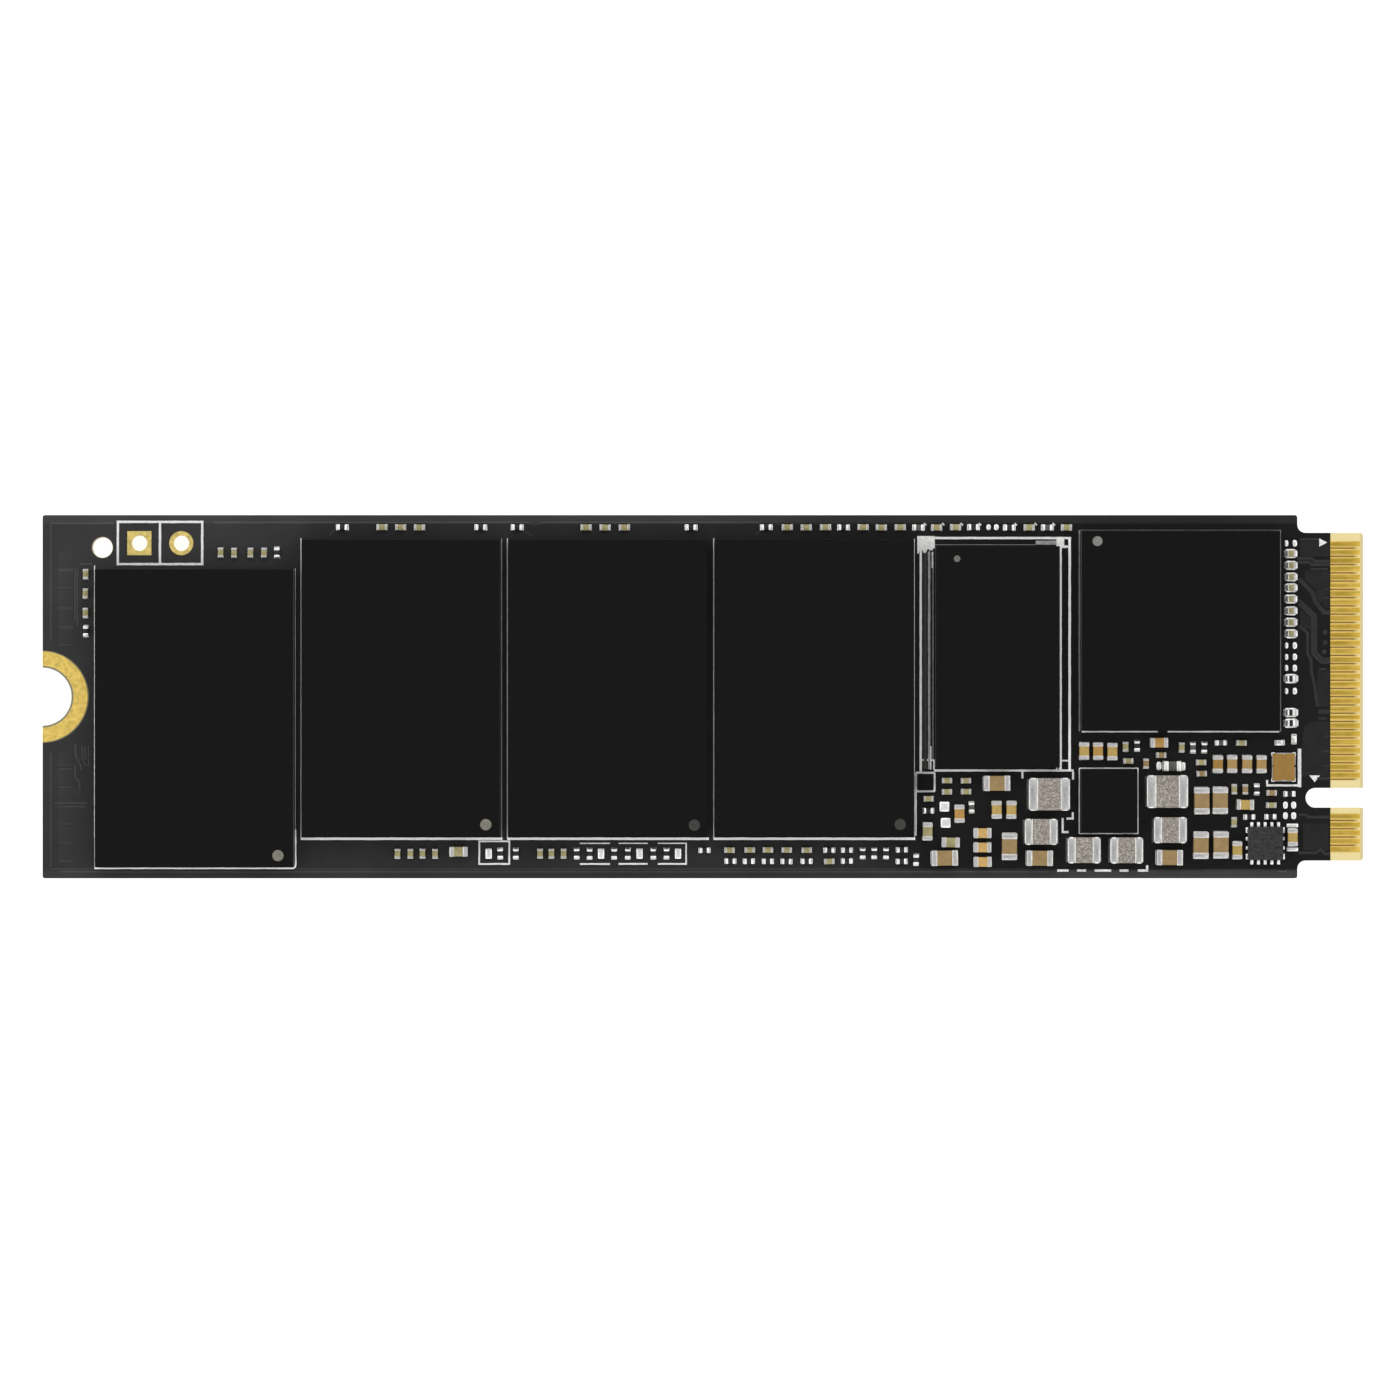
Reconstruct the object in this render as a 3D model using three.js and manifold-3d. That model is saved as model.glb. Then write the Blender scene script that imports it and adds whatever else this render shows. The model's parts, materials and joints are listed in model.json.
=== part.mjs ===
// A solid state drive: an 80 x 22 mm card with memory packages on one side and an edge connector.
// Millimetres. +X runs from the screw end to the edge contacts, +Y towards contact 1, and +Z is the
// component side. The origin lies under the middle of the card, on the plane of its underside.
import * as THREE from 'three';
import * as BufferGeometryUtils from 'three/addons/utils/BufferGeometryUtils.js';
import Module from 'manifold-3d';

const wasm = await Module();
wasm.setup();

// Card
const CARD_LENGTH = 80;
const CARD_WIDTH = 22;
const CARD_THICKNESS = 0.8;
const CORNER_RADIUS = 0.15;
const MASK_THICKNESS = 0.03;
const RIGHT = CARD_LENGTH / 2;
const LEFT = -RIGHT;
const HALF_WIDTH = CARD_WIDTH / 2;

// Tongue that goes into the socket, its key slot and its contacts
const TONGUE_LENGTH = 4;
const TONGUE_HALF_WIDTH = 9.925;
const TONGUE_ROOT_RADIUS = 0.5;
const TONGUE_BEVEL = 0.2;
const SHOULDER = RIGHT - TONGUE_LENGTH;
const KEY_Y = -6.125;
const KEY_RADIUS = 0.6;
const KEY_DEPTH = 3.5;
const CONTACT_PITCH = 0.5;
const CONTACT_WIDTH = 0.35;
const CONTACT_END = RIGHT - TONGUE_BEVEL;
const CONTACT_START = 38;
const CONTACT_BAR = 0.1;
const MASK_END = CONTACT_START - CONTACT_BAR;
const CONTACT_ROWS = {
  edge_contacts_top_long: { firstY: 9.25, count: 29, top: true },
  edge_contacts_top_short: { firstY: -7.25, count: 5, top: true },
  edge_contacts_bottom_long: { firstY: 9, count: 29, top: false },
  edge_contacts_bottom_short: { firstY: -7.5, count: 4, top: false },
};

// Half hole for the holding screw, and the holes near it
const SCREW_RADIUS = 1.75;
const SCREW_LAND_RADIUS = 2.75;
const SCREW_OPENING_RADIUS = 2.8;
const TOOLING_HOLE = { x: -36.38, y: 9.04, radius: 0.63, opening: 0.66 };
const TEST_HOLES = {
  test_hole_square: { x: -34.14, y: 9.3, square: true },
  test_hole_round: { x: -31.6, y: 9.3, square: false },
};
const TEST_PAD = 1.5;
const TEST_BARREL_RADIUS = 0.55;
const TEST_BORE_RADIUS = 0.5;
const TEST_OPENING_GAP = 0.02;

// Area array packages: [x, y] centres, sizes along X and Y, and layer heights
const NAND_CENTRES = [[-30.75, -1.3], [-18.25, 0.5], [-5.75, 0.5], [6.75, 0.5]];
const NAND = {
  length: 12, width: 18, balls: 0.28, substrate: 0.22, cap: 0.8,
  die: { length: 9.6, width: 14.2, height: 0.5 },
};
const DRAM = {
  x: 17.82, y: 2.4, length: 7.5, width: 13.4, balls: 0.3, substrate: 0.18, cap: 0.64,
  die: { length: 5.8, width: 9.4, height: 0.3 },
};
const CONTROLLER = {
  x: 28.88, y: 3.99, length: 12, width: 12, balls: 0.26, substrate: 0.26, cap: 0.7,
  die: { length: 6.4, width: 6, height: 0.4 },
};
const POWER_MANAGER = { x: 24.57, y: -6.31, length: 3.4, width: 3.8, balls: 0.1, substrate: 0.2, cap: 0.6 };
const BALL_FIELD_INSET = 0.7;
const SMALL_FIELD_INSET = 0.2;
const DIE_GAP = 0.02;

// Load switch: a moulded body on a lead frame
const LOAD_SWITCH = { x: 34.05, y: -8.88, length: 2.1, width: 2, height: 0.75 };
const LEAD_HEIGHT = 0.15;
const LEAD_WIDTH = 0.22;
const LEAD_REACH = 0.26;
const LEAD_PITCH = 0.405;
const SIDE_LEAD_ROWS = [-0.86, -0.28, 0.28, 0.86];

// Temperature sensor and clock crystal
const SENSOR = { x: 13.47, y: -5.17, length: 0.9, width: 0.9, height: 0.5 };
const CRYSTAL = { x: 35.16, y: -4.26, length: 1.44, width: 1.74, base: 0.25, lid: 0.18, rim: 0.12 };

// Power inductors and their end caps
const INDUCTOR_LARGE = { length: 2.5, width: 2, height: 1.1 };
const INDUCTOR_SMALL = { length: 2, width: 1.6, height: 0.95 };
const INDUCTORS = [
  [20.94, -5.9, INDUCTOR_LARGE],
  [20.45, -8.17, INDUCTOR_SMALL],
  [23.05, -9.28, INDUCTOR_SMALL],
  [25.62, -9.29, INDUCTOR_SMALL],
  [28.08, -5.74, INDUCTOR_LARGE],
  [28.26, -8.07, INDUCTOR_SMALL],
];
const INDUCTOR_CAP = 0.52;
const CAP_PROUD = 0.02;

// Ceramic chips, in three sizes. A chip is [x, y, lies], and lies is 'h' along X or 'v' along Y.
const CHIP_LARGE = { length: 1.6, width: 0.85, height: 0.8, terminal: 0.34 };
const CHIP_MEDIUM = { length: 1.04, width: 0.56, height: 0.5, terminal: 0.24 };
const CHIP_SMALL = { length: 0.62, width: 0.32, height: 0.3, terminal: 0.17 };
const LAND_HEIGHT = 0.03;
const LAND_WIDTH = 0.12;
const PAD_HEIGHT = 0.05;

const BULK_CAPACITORS = {
  bulk_capacitor_1: [[17.79, -5.23, 'h']],
  bulk_capacitor_2: [[14.63, -9.77, 'h']],
  bulk_capacitor_3: [[18.55, -9.07, 'v']],
  bulk_capacitor_4: [[20.36, -9.77, 'h']],
  bulk_capacitor_5: [[28.24, -9.73, 'h']],
  bulk_capacitor_pair_1: [[30.17, -6.29, 'v'], [31.3, -6.29, 'v']],
  bulk_capacitor_pair_2: [[30.14, -8.98, 'v'], [31.33, -8.98, 'v']],
};

// Each bank holds its medium chips, its small chips, bare pads [x, y, length, width] and the
// straight land tracks [x0, y0, x1, y1] that its chips stand on.
const CHIP_BANKS = {
  input_capacitor_bank: {
    medium: [[31.16, -4.08, 'v'], [32.02, -4.08, 'v'], [32.94, -4.08, 'v'], [33.82, -4.08, 'v']],
    tracks: [[31.16, -4.08, 33.82, -4.08]],
  },
  output_capacitor_bank: {
    medium: [[16.94, -8.26, 'h'], [16.94, -9.12, 'h'], [16.94, -9.99, 'h']],
    tracks: [[16.94, -8.26, 16.94, -9.99]],
  },
  corner_chip_column: {
    small: [[-37.38, 7.41, 'v'], [-37.38, 6.26, 'v'], [-37.38, 5.08, 'v'], [-37.38, 3.97, 'v']],
    tracks: [[-37.38, 7.41, -37.38, 3.97]],
  },
  corner_chip_row: {
    small: [
      [-29.2, 8.71, 'v'], [-28.4, 8.71, 'v'], [-27.41, 8.71, 'v'], [-26.59, 8.71, 'v'],
      [-25.79, 8.71, 'v'],
    ],
    tracks: [[-29.2, 8.71, -25.79, 8.71]],
  },
  top_edge_chip_row: {
    small: [
      [-21.85, 10.25, 'h'], [-19.44, 10.25, 'h'], [-18.3, 10.25, 'h'], [-17.16, 10.25, 'h'],
      [-13.45, 10.25, 'h'], [-11.26, 10.25, 'h'], [-7.07, 10.25, 'h'], [-5.92, 10.25, 'h'],
      [-4.76, 10.25, 'h'], [-0.73, 10.25, 'h'], [3.84, 10.25, 'h'], [5.11, 10.25, 'h'],
      [6.25, 10.25, 'h'], [7.42, 10.25, 'h'], [8.52, 10.25, 'h'], [9.71, 10.25, 'h'],
      [10.81, 10.25, 'h'], [11.94, 10.25, 'h'], [13.06, 10.25, 'h'], [14.16, 10.25, 'h'],
      [15.29, 10.25, 'h'], [16.39, 10.25, 'h'], [18.56, 10.25, 'h'], [19.76, 10.25, 'h'],
      [20.86, 10.25, 'h'], [22.03, 10.25, 'h'],
    ],
    tracks: [[-21.85, 10.25, 22.03, 10.25]],
  },
  bottom_edge_chip_row: {
    medium: [[-14.81, -9.38, 'h']],
    small: [
      [-18.49, -9.5, 'v'], [-17.72, -9.5, 'v'], [-16.99, -9.5, 'v'], [-16.22, -9.5, 'v'],
      [-12.27, -9.5, 'v'], [-11.32, -9.5, 'v'], [-9.87, -9.5, 'v'], [-9.17, -9.5, 'v'],
      [-8.45, -9.5, 'v'], [-7.65, -9.5, 'v'], [-6.87, -9.5, 'v'], [-5.37, -9.5, 'v'],
      [-4.56, -9.5, 'v'], [-3.01, -9.5, 'v'], [-2.2, -9.5, 'v'],
    ],
    pads: [
      [-12.98, -9.5, 0.42, 0.7], [-6.17, -9.5, 0.42, 0.7], [-3.84, -9.5, 0.42, 0.7],
      [-1.51, -9.5, 0.42, 0.7],
    ],
    tracks: [[-18.49, -9.5, -1.51, -9.5]],
  },
  bottom_double_chip_row: {
    small: [
      [0.11, -9.3, 'h'], [1.62, -9.28, 'h'], [2.83, -9.28, 'h'], [3.94, -9.28, 'h'],
      [5.08, -9.28, 'h'], [6.28, -9.28, 'h'], [7.64, -9.28, 'h'], [8.73, -9.28, 'h'],
      [1.67, -9.96, 'h'], [2.78, -9.96, 'h'], [3.93, -9.96, 'h'], [5.06, -9.96, 'h'],
      [6.28, -9.96, 'h'], [7.64, -9.96, 'h'], [8.71, -9.96, 'h'], [9.68, -9.48, 'v'],
      [10.37, -9.48, 'v'], [11.08, -9.48, 'v'], [12.04, -9.26, 'h'], [12.04, -9.96, 'h'],
      [12.91, -9.88, 'v'],
    ],
    tracks: [
      [0.11, -9.28, 12.04, -9.28], [1.67, -9.96, 8.71, -9.96], [3.93, -9.28, 3.93, -9.96],
      [12.04, -9.28, 12.04, -9.96], [12.04, -9.94, 12.91, -9.94],
    ],
  },
  link_chip_column: {
    small: [
      [35.6, 8.67, 'h'], [35.6, 7.97, 'h'], [35.6, 7.26, 'h'], [35.6, 6.59, 'h'],
      [35.6, 5.92, 'h'], [35.6, 5.2, 'h'], [35.6, 4.52, 'h'], [35.6, 3.82, 'h'],
      [35.6, 1.1, 'h'], [35.6, -0.96, 'h'], [35.6, -1.61, 'h'],
    ],
    tracks: [[35.6, 8.67, 35.6, -1.61]],
  },
  left_power_chips: {
    medium: [
      [15.53, -7.08, 'v'], [13.59, -8.16, 'v'], [15.01, -8.82, 'h'], [17.77, -6.84, 'v'],
      [18.68, -6.84, 'v'],
    ],
    small: [
      [14.78, -5.08, 'h'], [15.94, -5.08, 'h'], [14.78, -5.75, 'h'], [15.94, -5.75, 'h'],
      [13.64, -6.19, 'h'], [13.64, -6.9, 'h'], [16.27, -6.7, 'v'],
    ],
    pads: [[14.63, -6.66, 0.65, 0.65], [14.7, -7.64, 0.65, 0.65]],
    tracks: [
      [14.78, -5.08, 15.94, -5.08], [14.78, -5.75, 15.94, -5.75], [14.78, -5.08, 14.78, -8.82],
      [13.64, -6.19, 14.78, -6.19], [13.64, -6.19, 13.64, -8.16], [14.78, -6.85, 18.68, -6.85],
    ],
  },
  core_power_chips: {
    medium: [
      [23.07, -3.3, 'v'], [23.91, -3.3, 'v'], [24.78, -3.32, 'v'], [27.64, -2.79, 'h'],
      [28.44, -4.2, 'h'],
    ],
    small: [
      [25.6, -3.02, 'v'], [26.29, -2.97, 'v'], [25.76, -3.91, 'h'], [26.83, -4.05, 'v'],
      [27.76, -3.55, 'h'], [28.99, -3.07, 'v'], [29.68, -3.07, 'v'], [30.37, -3.08, 'v'],
      [30.18, -3.98, 'h'], [30.2, -4.67, 'h'], [31.37, -2.79, 'h'], [32.62, -2.81, 'h'],
      [34.92, -2.8, 'h'], [35.79, -2.56, 'v'],
    ],
    tracks: [
      [23.07, -2.88, 35.79, -2.88], [27.76, -2.88, 27.76, -4.04], [25.76, -4.04, 28.44, -4.04],
      [30.2, -2.88, 30.2, -4.67],
    ],
  },
  input_power_chips: {
    medium: [[32.84, -6.54, 'h'], [32.33, -9.29, 'v'], [35.7, -8.52, 'v']],
    small: [
      [32.16, -5.61, 'v'], [32.84, -5.61, 'v'], [33.53, -5.62, 'v'], [34.43, -5.83, 'h'],
      [34.43, -6.57, 'h'], [35.53, -5.88, 'h'], [33.1, -7.28, 'h'], [34.37, -7.27, 'h'],
      [32.17, -7.6, 'v'],
    ],
    tracks: [
      [32.16, -5.78, 35.53, -5.78], [34.43, -5.78, 34.43, -7.27], [32.2, -7.32, 35.7, -7.32],
      [32.84, -5.78, 32.84, -7.28], [32.2, -7.32, 32.2, -9.29], [35.7, -7.32, 35.7, -8.52],
    ],
  },
};

// Sides that stand for a full turn of a round stretch, and for each arc of the card's outline
const ROUND_STEPS = 48;
const SMALL_ROUND_STEPS = 16;
const ARC_STEPS = 8;

// How far a cutting shape runs past what it cuts
const CUT_MARGIN = 1;

function finish(color, roughness, metalness) {
  return new THREE.MeshStandardMaterial({ color, roughness, metalness });
}

const MATERIALS = {
  laminate: finish(0xb8a878, 0.7, 0),
  mask: finish(0x1b1c1b, 0.6, 0),
  gold: finish(0xc9a456, 0.32, 1),
  mould: finish(0x161616, 0.75, 0),
  substrate: finish(0x22261f, 0.6, 0),
  silicon: finish(0x3c3f45, 0.25, 0.2),
  ferrite: finish(0x8b837a, 0.8, 0),
  ceramic: finish(0x9b7f55, 0.55, 0),
  tin: finish(0xc4c5c6, 0.35, 1),
  amber: finish(0x96651c, 0.35, 0),
};

// A closed three.js geometry as a manifold solid.
function solid(geometry) {
  const bare = geometry.clone();
  bare.deleteAttribute('normal');
  bare.deleteAttribute('uv');
  const merged = BufferGeometryUtils.mergeVertices(bare);
  const vertProperties = new Float32Array(merged.attributes.position.array);
  const triVerts = new Uint32Array(merged.index.array);
  return new wasm.Manifold(new wasm.Mesh({ numProp: 3, vertProperties, triVerts }));
}

// A manifold solid as a three.js geometry with flat faces.
function geometryOf(body) {
  const mesh = body.getMesh();
  const geometry = new THREE.BufferGeometry();
  geometry.setAttribute('position', new THREE.BufferAttribute(mesh.vertProperties, 3));
  geometry.setIndex(new THREE.BufferAttribute(mesh.triVerts, 1));
  const flat = geometry.toNonIndexed();
  flat.computeVertexNormals();
  return flat;
}

function union(bodies) {
  return bodies.reduce((whole, body) => whole.add(body));
}

// A box from its lowest corner to its highest one.
function block(x0, y0, z0, x1, y1, z1) {
  const geometry = new THREE.BoxGeometry(x1 - x0, y1 - y0, z1 - z0);
  geometry.translate((x0 + x1) / 2, (y0 + y1) / 2, (z0 + z1) / 2);
  return solid(geometry);
}

// A box standing on height z, centred on x and y.
function standing(x, y, z, length, width, height) {
  return block(x - length / 2, y - width / 2, z, x + length / 2, y + width / 2, z + height);
}

function drum(x, y, z0, z1, radius, steps = SMALL_ROUND_STEPS) {
  const geometry = new THREE.CylinderGeometry(radius, radius, z1 - z0, steps);
  geometry.rotateX(Math.PI / 2);
  geometry.translate(x, y, (z0 + z1) / 2);
  return solid(geometry);
}

// The card seen from above: screw half hole on the left, tongue with its key slot on the right.
function cardOutline() {
  const r = CORNER_RADIUS;
  const quarter = Math.PI / 2;
  const root = TONGUE_ROOT_RADIUS;
  const keyCentre = RIGHT - KEY_DEPTH + KEY_RADIUS;
  const shape = new THREE.Shape();
  shape.moveTo(LEFT + r, -HALF_WIDTH);
  shape.absarc(SHOULDER - r, -HALF_WIDTH + r, r, -quarter, 0, false);
  shape.absarc(SHOULDER + root, -TONGUE_HALF_WIDTH - root, root, 2 * quarter, quarter, true);
  shape.absarc(RIGHT - r, -TONGUE_HALF_WIDTH + r, r, -quarter, 0, false);
  shape.lineTo(RIGHT, KEY_Y - KEY_RADIUS);
  shape.absarc(keyCentre, KEY_Y, KEY_RADIUS, -quarter, quarter, true);
  shape.lineTo(RIGHT, KEY_Y + KEY_RADIUS);
  shape.absarc(RIGHT - r, TONGUE_HALF_WIDTH - r, r, 0, quarter, false);
  shape.absarc(SHOULDER + root, TONGUE_HALF_WIDTH + root, root, -quarter, -2 * quarter, true);
  shape.absarc(SHOULDER - r, HALF_WIDTH - r, r, 0, quarter, false);
  shape.absarc(LEFT + r, HALF_WIDTH - r, r, quarter, 2 * quarter, false);
  shape.lineTo(LEFT, SCREW_RADIUS);
  shape.absarc(LEFT, 0, SCREW_RADIUS, quarter, -quarter, true);
  shape.absarc(LEFT + r, -HALF_WIDTH + r, r, -2 * quarter, -quarter, false);
  return shape;
}

function cardPlate(z0, z1) {
  const settings = { depth: z1 - z0, bevelEnabled: false, curveSegments: ARC_STEPS };
  const geometry = new THREE.ExtrudeGeometry(cardOutline(), settings);
  geometry.translate(0, 0, z0);
  return solid(geometry);
}

// Wedge that takes the edge off the tongue's end, along Y, on the top or the bottom.
function tongueWedge(top) {
  const z = top ? CARD_THICKNESS - MASK_THICKNESS : MASK_THICKNESS;
  const inward = top ? -TONGUE_BEVEL : TONGUE_BEVEL;
  const section = new THREE.Shape();
  section.moveTo(RIGHT - TONGUE_BEVEL, z);
  section.lineTo(RIGHT + CUT_MARGIN, z + inward * (1 + CUT_MARGIN / TONGUE_BEVEL));
  section.lineTo(RIGHT + CUT_MARGIN, z - inward);
  section.lineTo(RIGHT - TONGUE_BEVEL, z - inward);
  const geometry = new THREE.ExtrudeGeometry(section, { depth: CARD_WIDTH, bevelEnabled: false });
  geometry.rotateX(Math.PI / 2);
  geometry.translate(0, HALF_WIDTH, 0);
  return solid(geometry);
}

function laminate() {
  let body = cardPlate(MASK_THICKNESS, CARD_THICKNESS - MASK_THICKNESS);
  body = body.subtract(tongueWedge(true)).subtract(tongueWedge(false));
  body = body.subtract(drum(TOOLING_HOLE.x, TOOLING_HOLE.y, 0, CARD_THICKNESS, TOOLING_HOLE.radius));
  for (const hole of Object.values(TEST_HOLES)) {
    body = body.subtract(drum(hole.x, hole.y, 0, CARD_THICKNESS, TEST_BARREL_RADIUS));
  }
  return body;
}

// The lacquer over one side, open at the contacts, the screw land and the holes.
function solderMask(z0) {
  const low = z0 - CUT_MARGIN;
  const high = z0 + MASK_THICKNESS + CUT_MARGIN;
  let body = cardPlate(z0, z0 + MASK_THICKNESS);
  body = body.subtract(block(MASK_END, -CARD_WIDTH, low, RIGHT + CUT_MARGIN, CARD_WIDTH, high));
  body = body.subtract(drum(LEFT, 0, low, high, SCREW_OPENING_RADIUS, ROUND_STEPS));
  body = body.subtract(drum(TOOLING_HOLE.x, TOOLING_HOLE.y, low, high, TOOLING_HOLE.opening));
  const opening = TEST_PAD + 2 * TEST_OPENING_GAP;
  for (const hole of Object.values(TEST_HOLES)) {
    const cut = hole.square
      ? standing(hole.x, hole.y, low, opening, opening, high - low)
      : drum(hole.x, hole.y, low, high, opening / 2);
    body = body.subtract(cut);
  }
  return body;
}

// Half ring of bare metal that the screw head or the standoff touches.
function groundRing(z0) {
  const low = z0 - CUT_MARGIN;
  const high = z0 + MASK_THICKNESS + CUT_MARGIN;
  const reach = SCREW_LAND_RADIUS + CUT_MARGIN;
  let ring = drum(LEFT, 0, z0, z0 + MASK_THICKNESS, SCREW_LAND_RADIUS, ROUND_STEPS);
  ring = ring.subtract(drum(LEFT, 0, low, high, SCREW_RADIUS, ROUND_STEPS));
  return ring.subtract(block(LEFT - reach, -reach, low, LEFT, reach, high));
}

// A row of contact fingers, held together by a thin bar where the lacquer starts.
function contactRow(row) {
  const half = CONTACT_WIDTH / 2;
  const lastY = row.firstY - (row.count - 1) * CONTACT_PITCH;
  const outline = new THREE.Shape();
  outline.moveTo(MASK_END, row.firstY + half);
  for (let i = 0; i < row.count; i += 1) {
    const y = row.firstY - i * CONTACT_PITCH;
    if (i > 0) outline.lineTo(CONTACT_START, y + half);
    outline.lineTo(CONTACT_END, y + half);
    outline.lineTo(CONTACT_END, y - half);
    if (i < row.count - 1) outline.lineTo(CONTACT_START, y - half);
  }
  outline.lineTo(MASK_END, lastY - half);
  const geometry = new THREE.ExtrudeGeometry(outline, { depth: MASK_THICKNESS, bevelEnabled: false });
  geometry.translate(0, 0, row.top ? CARD_THICKNESS - MASK_THICKNESS : 0);
  return solid(geometry);
}

// A plated hole: a pad on each side and the barrel between them.
function testHole(hole) {
  const pads = [0, CARD_THICKNESS - MASK_THICKNESS].map((z) => (hole.square
    ? standing(hole.x, hole.y, z, TEST_PAD, TEST_PAD, MASK_THICKNESS)
    : drum(hole.x, hole.y, z, z + MASK_THICKNESS, TEST_PAD / 2)));
  const barrel = drum(hole.x, hole.y, 0, CARD_THICKNESS, TEST_BARREL_RADIUS);
  const bore = drum(hole.x, hole.y, -CUT_MARGIN, CARD_THICKNESS + CUT_MARGIN, TEST_BORE_RADIUS);
  return union([...pads, barrel]).subtract(bore);
}

// The small circuit board inside a package. The inset block under it stands for its solder balls.
function packageSubstrate(spec, inset) {
  const field = standing(0, 0, 0, spec.length - 2 * inset, spec.width - 2 * inset, spec.balls);
  return field.add(standing(0, 0, spec.balls, spec.length, spec.width, spec.substrate));
}

function packageDie(spec) {
  const { length, width, height } = spec.die;
  return standing(0, 0, spec.balls + spec.substrate, length, width, height);
}

// The moulding over the die, with a pocket that the die fills.
function packageCap(spec) {
  const z = spec.balls + spec.substrate;
  const body = standing(0, 0, z, spec.length, spec.width, spec.cap);
  if (!spec.die) return body;
  const { length, width, height } = spec.die;
  const pocketHeight = height + DIE_GAP + CUT_MARGIN;
  return body.subtract(
    standing(0, 0, z - CUT_MARGIN, length + 2 * DIE_GAP, width + 2 * DIE_GAP, pocketHeight),
  );
}

function switchFrame() {
  const { length, width } = LOAD_SWITCH;
  const pieces = [standing(0, 0, 0, length, width, LEAD_HEIGHT)];
  for (let i = -2; i <= 2; i += 1) {
    pieces.push(standing(i * LEAD_PITCH, 0, 0, LEAD_WIDTH, width + 2 * LEAD_REACH, LEAD_HEIGHT));
  }
  for (const y of SIDE_LEAD_ROWS) {
    pieces.push(standing(0, y, 0, length + LEAD_REACH, LEAD_WIDTH, LEAD_HEIGHT));
  }
  return union(pieces);
}

function switchBody() {
  const { length, width, height } = LOAD_SWITCH;
  return standing(0, 0, LEAD_HEIGHT, length, width, height - LEAD_HEIGHT);
}

function crystalBase() {
  return standing(0, 0, 0, CRYSTAL.length, CRYSTAL.width, CRYSTAL.base);
}

function crystalLid() {
  const { length, width, base, lid, rim } = CRYSTAL;
  return standing(0, 0, base, length - 2 * rim, width - 2 * rim, lid);
}

function inductor(size) {
  const { length, width, height } = size;
  const core = standing(0, 0, 0, length - INDUCTOR_CAP, width - 2 * CAP_PROUD, height - CAP_PROUD);
  const offset = (length - INDUCTOR_CAP) / 2;
  const caps = [-offset, offset].map((x) => standing(x, 0, 0, INDUCTOR_CAP, width, height));
  return union([core, ...caps]);
}

// A ceramic chip with its two metal ends, at [x, y] and lying along X or Y.
function chip([x, y, lies], size) {
  const { length, width, height, terminal } = size;
  const along = lies === 'h';
  const lay = (shift, run, across, tall) => (along
    ? standing(x + shift, y, 0, run, across, tall)
    : standing(x, y + shift, 0, across, run, tall));
  const core = lay(0, length - terminal, width - 2 * CAP_PROUD, height - CAP_PROUD);
  const ends = [-1, 1].map((side) => lay((side * (length - terminal)) / 2, terminal, width, height));
  return union([core, ...ends]);
}

// The smallest chips are one plain block each.
function smallChip([x, y, lies]) {
  const { length, width, height } = CHIP_SMALL;
  const along = lies === 'h';
  return standing(x, y, 0, along ? length : width, along ? width : length, height);
}

function landTrack([x0, y0, x1, y1]) {
  const half = LAND_WIDTH / 2;
  return block(
    Math.min(x0, x1) - half, Math.min(y0, y1) - half, 0,
    Math.max(x0, x1) + half, Math.max(y0, y1) + half, LAND_HEIGHT,
  );
}

function chipBank(bank) {
  const { medium = [], small = [], pads = [], tracks } = bank;
  return union([
    ...tracks.map(landTrack),
    ...medium.map((entry) => chip(entry, CHIP_MEDIUM)),
    ...small.map(smallChip),
    ...pads.map(([x, y, length, width]) => standing(x, y, 0, length, width, PAD_HEIGHT)),
  ]);
}

// A bulk capacitor, or a pair that shares one land.
function bulkCapacitor(entries) {
  const chips = entries.map((entry) => chip(entry, CHIP_LARGE));
  const [first, last] = [entries[0], entries[entries.length - 1]];
  return union([landTrack([first[0], first[1], last[0], last[1]]), ...chips]);
}

const drive = new THREE.Group();
drive.name = 'solid_state_drive';

function addPiece(parent, name, body, material, x = 0, y = 0, z = 0) {
  const mesh = new THREE.Mesh(geometryOf(body), material);
  mesh.name = name;
  mesh.position.set(x, y, z);
  parent.add(mesh);
}

function addCard() {
  const card = new THREE.Group();
  const topLayer = CARD_THICKNESS - MASK_THICKNESS;
  addPiece(card, 'board_laminate', laminate(), MATERIALS.laminate);
  addPiece(card, 'solder_mask_top', solderMask(topLayer), MATERIALS.mask);
  addPiece(card, 'solder_mask_bottom', solderMask(0), MATERIALS.mask);
  addPiece(card, 'ground_ring_top', groundRing(topLayer), MATERIALS.gold);
  addPiece(card, 'ground_ring_bottom', groundRing(0), MATERIALS.gold);
  for (const [name, row] of Object.entries(CONTACT_ROWS)) {
    addPiece(card, name, contactRow(row), MATERIALS.gold);
  }
  for (const [name, hole] of Object.entries(TEST_HOLES)) {
    addPiece(card, name, testHole(hole), MATERIALS.gold);
  }
  drive.add(card);
}

function addPackage(parent, label, spec, x, y, suffix = '') {
  const inset = spec.die ? BALL_FIELD_INSET : SMALL_FIELD_INSET;
  const substrate = packageSubstrate(spec, inset);
  addPiece(parent, `${label}_substrate${suffix}`, substrate, MATERIALS.substrate, x, y);
  if (spec.die) {
    addPiece(parent, `${label}_die${suffix}`, packageDie(spec), MATERIALS.silicon, x, y);
  }
  addPiece(parent, `${label}_package${suffix}`, packageCap(spec), MATERIALS.mould, x, y);
}

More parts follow.
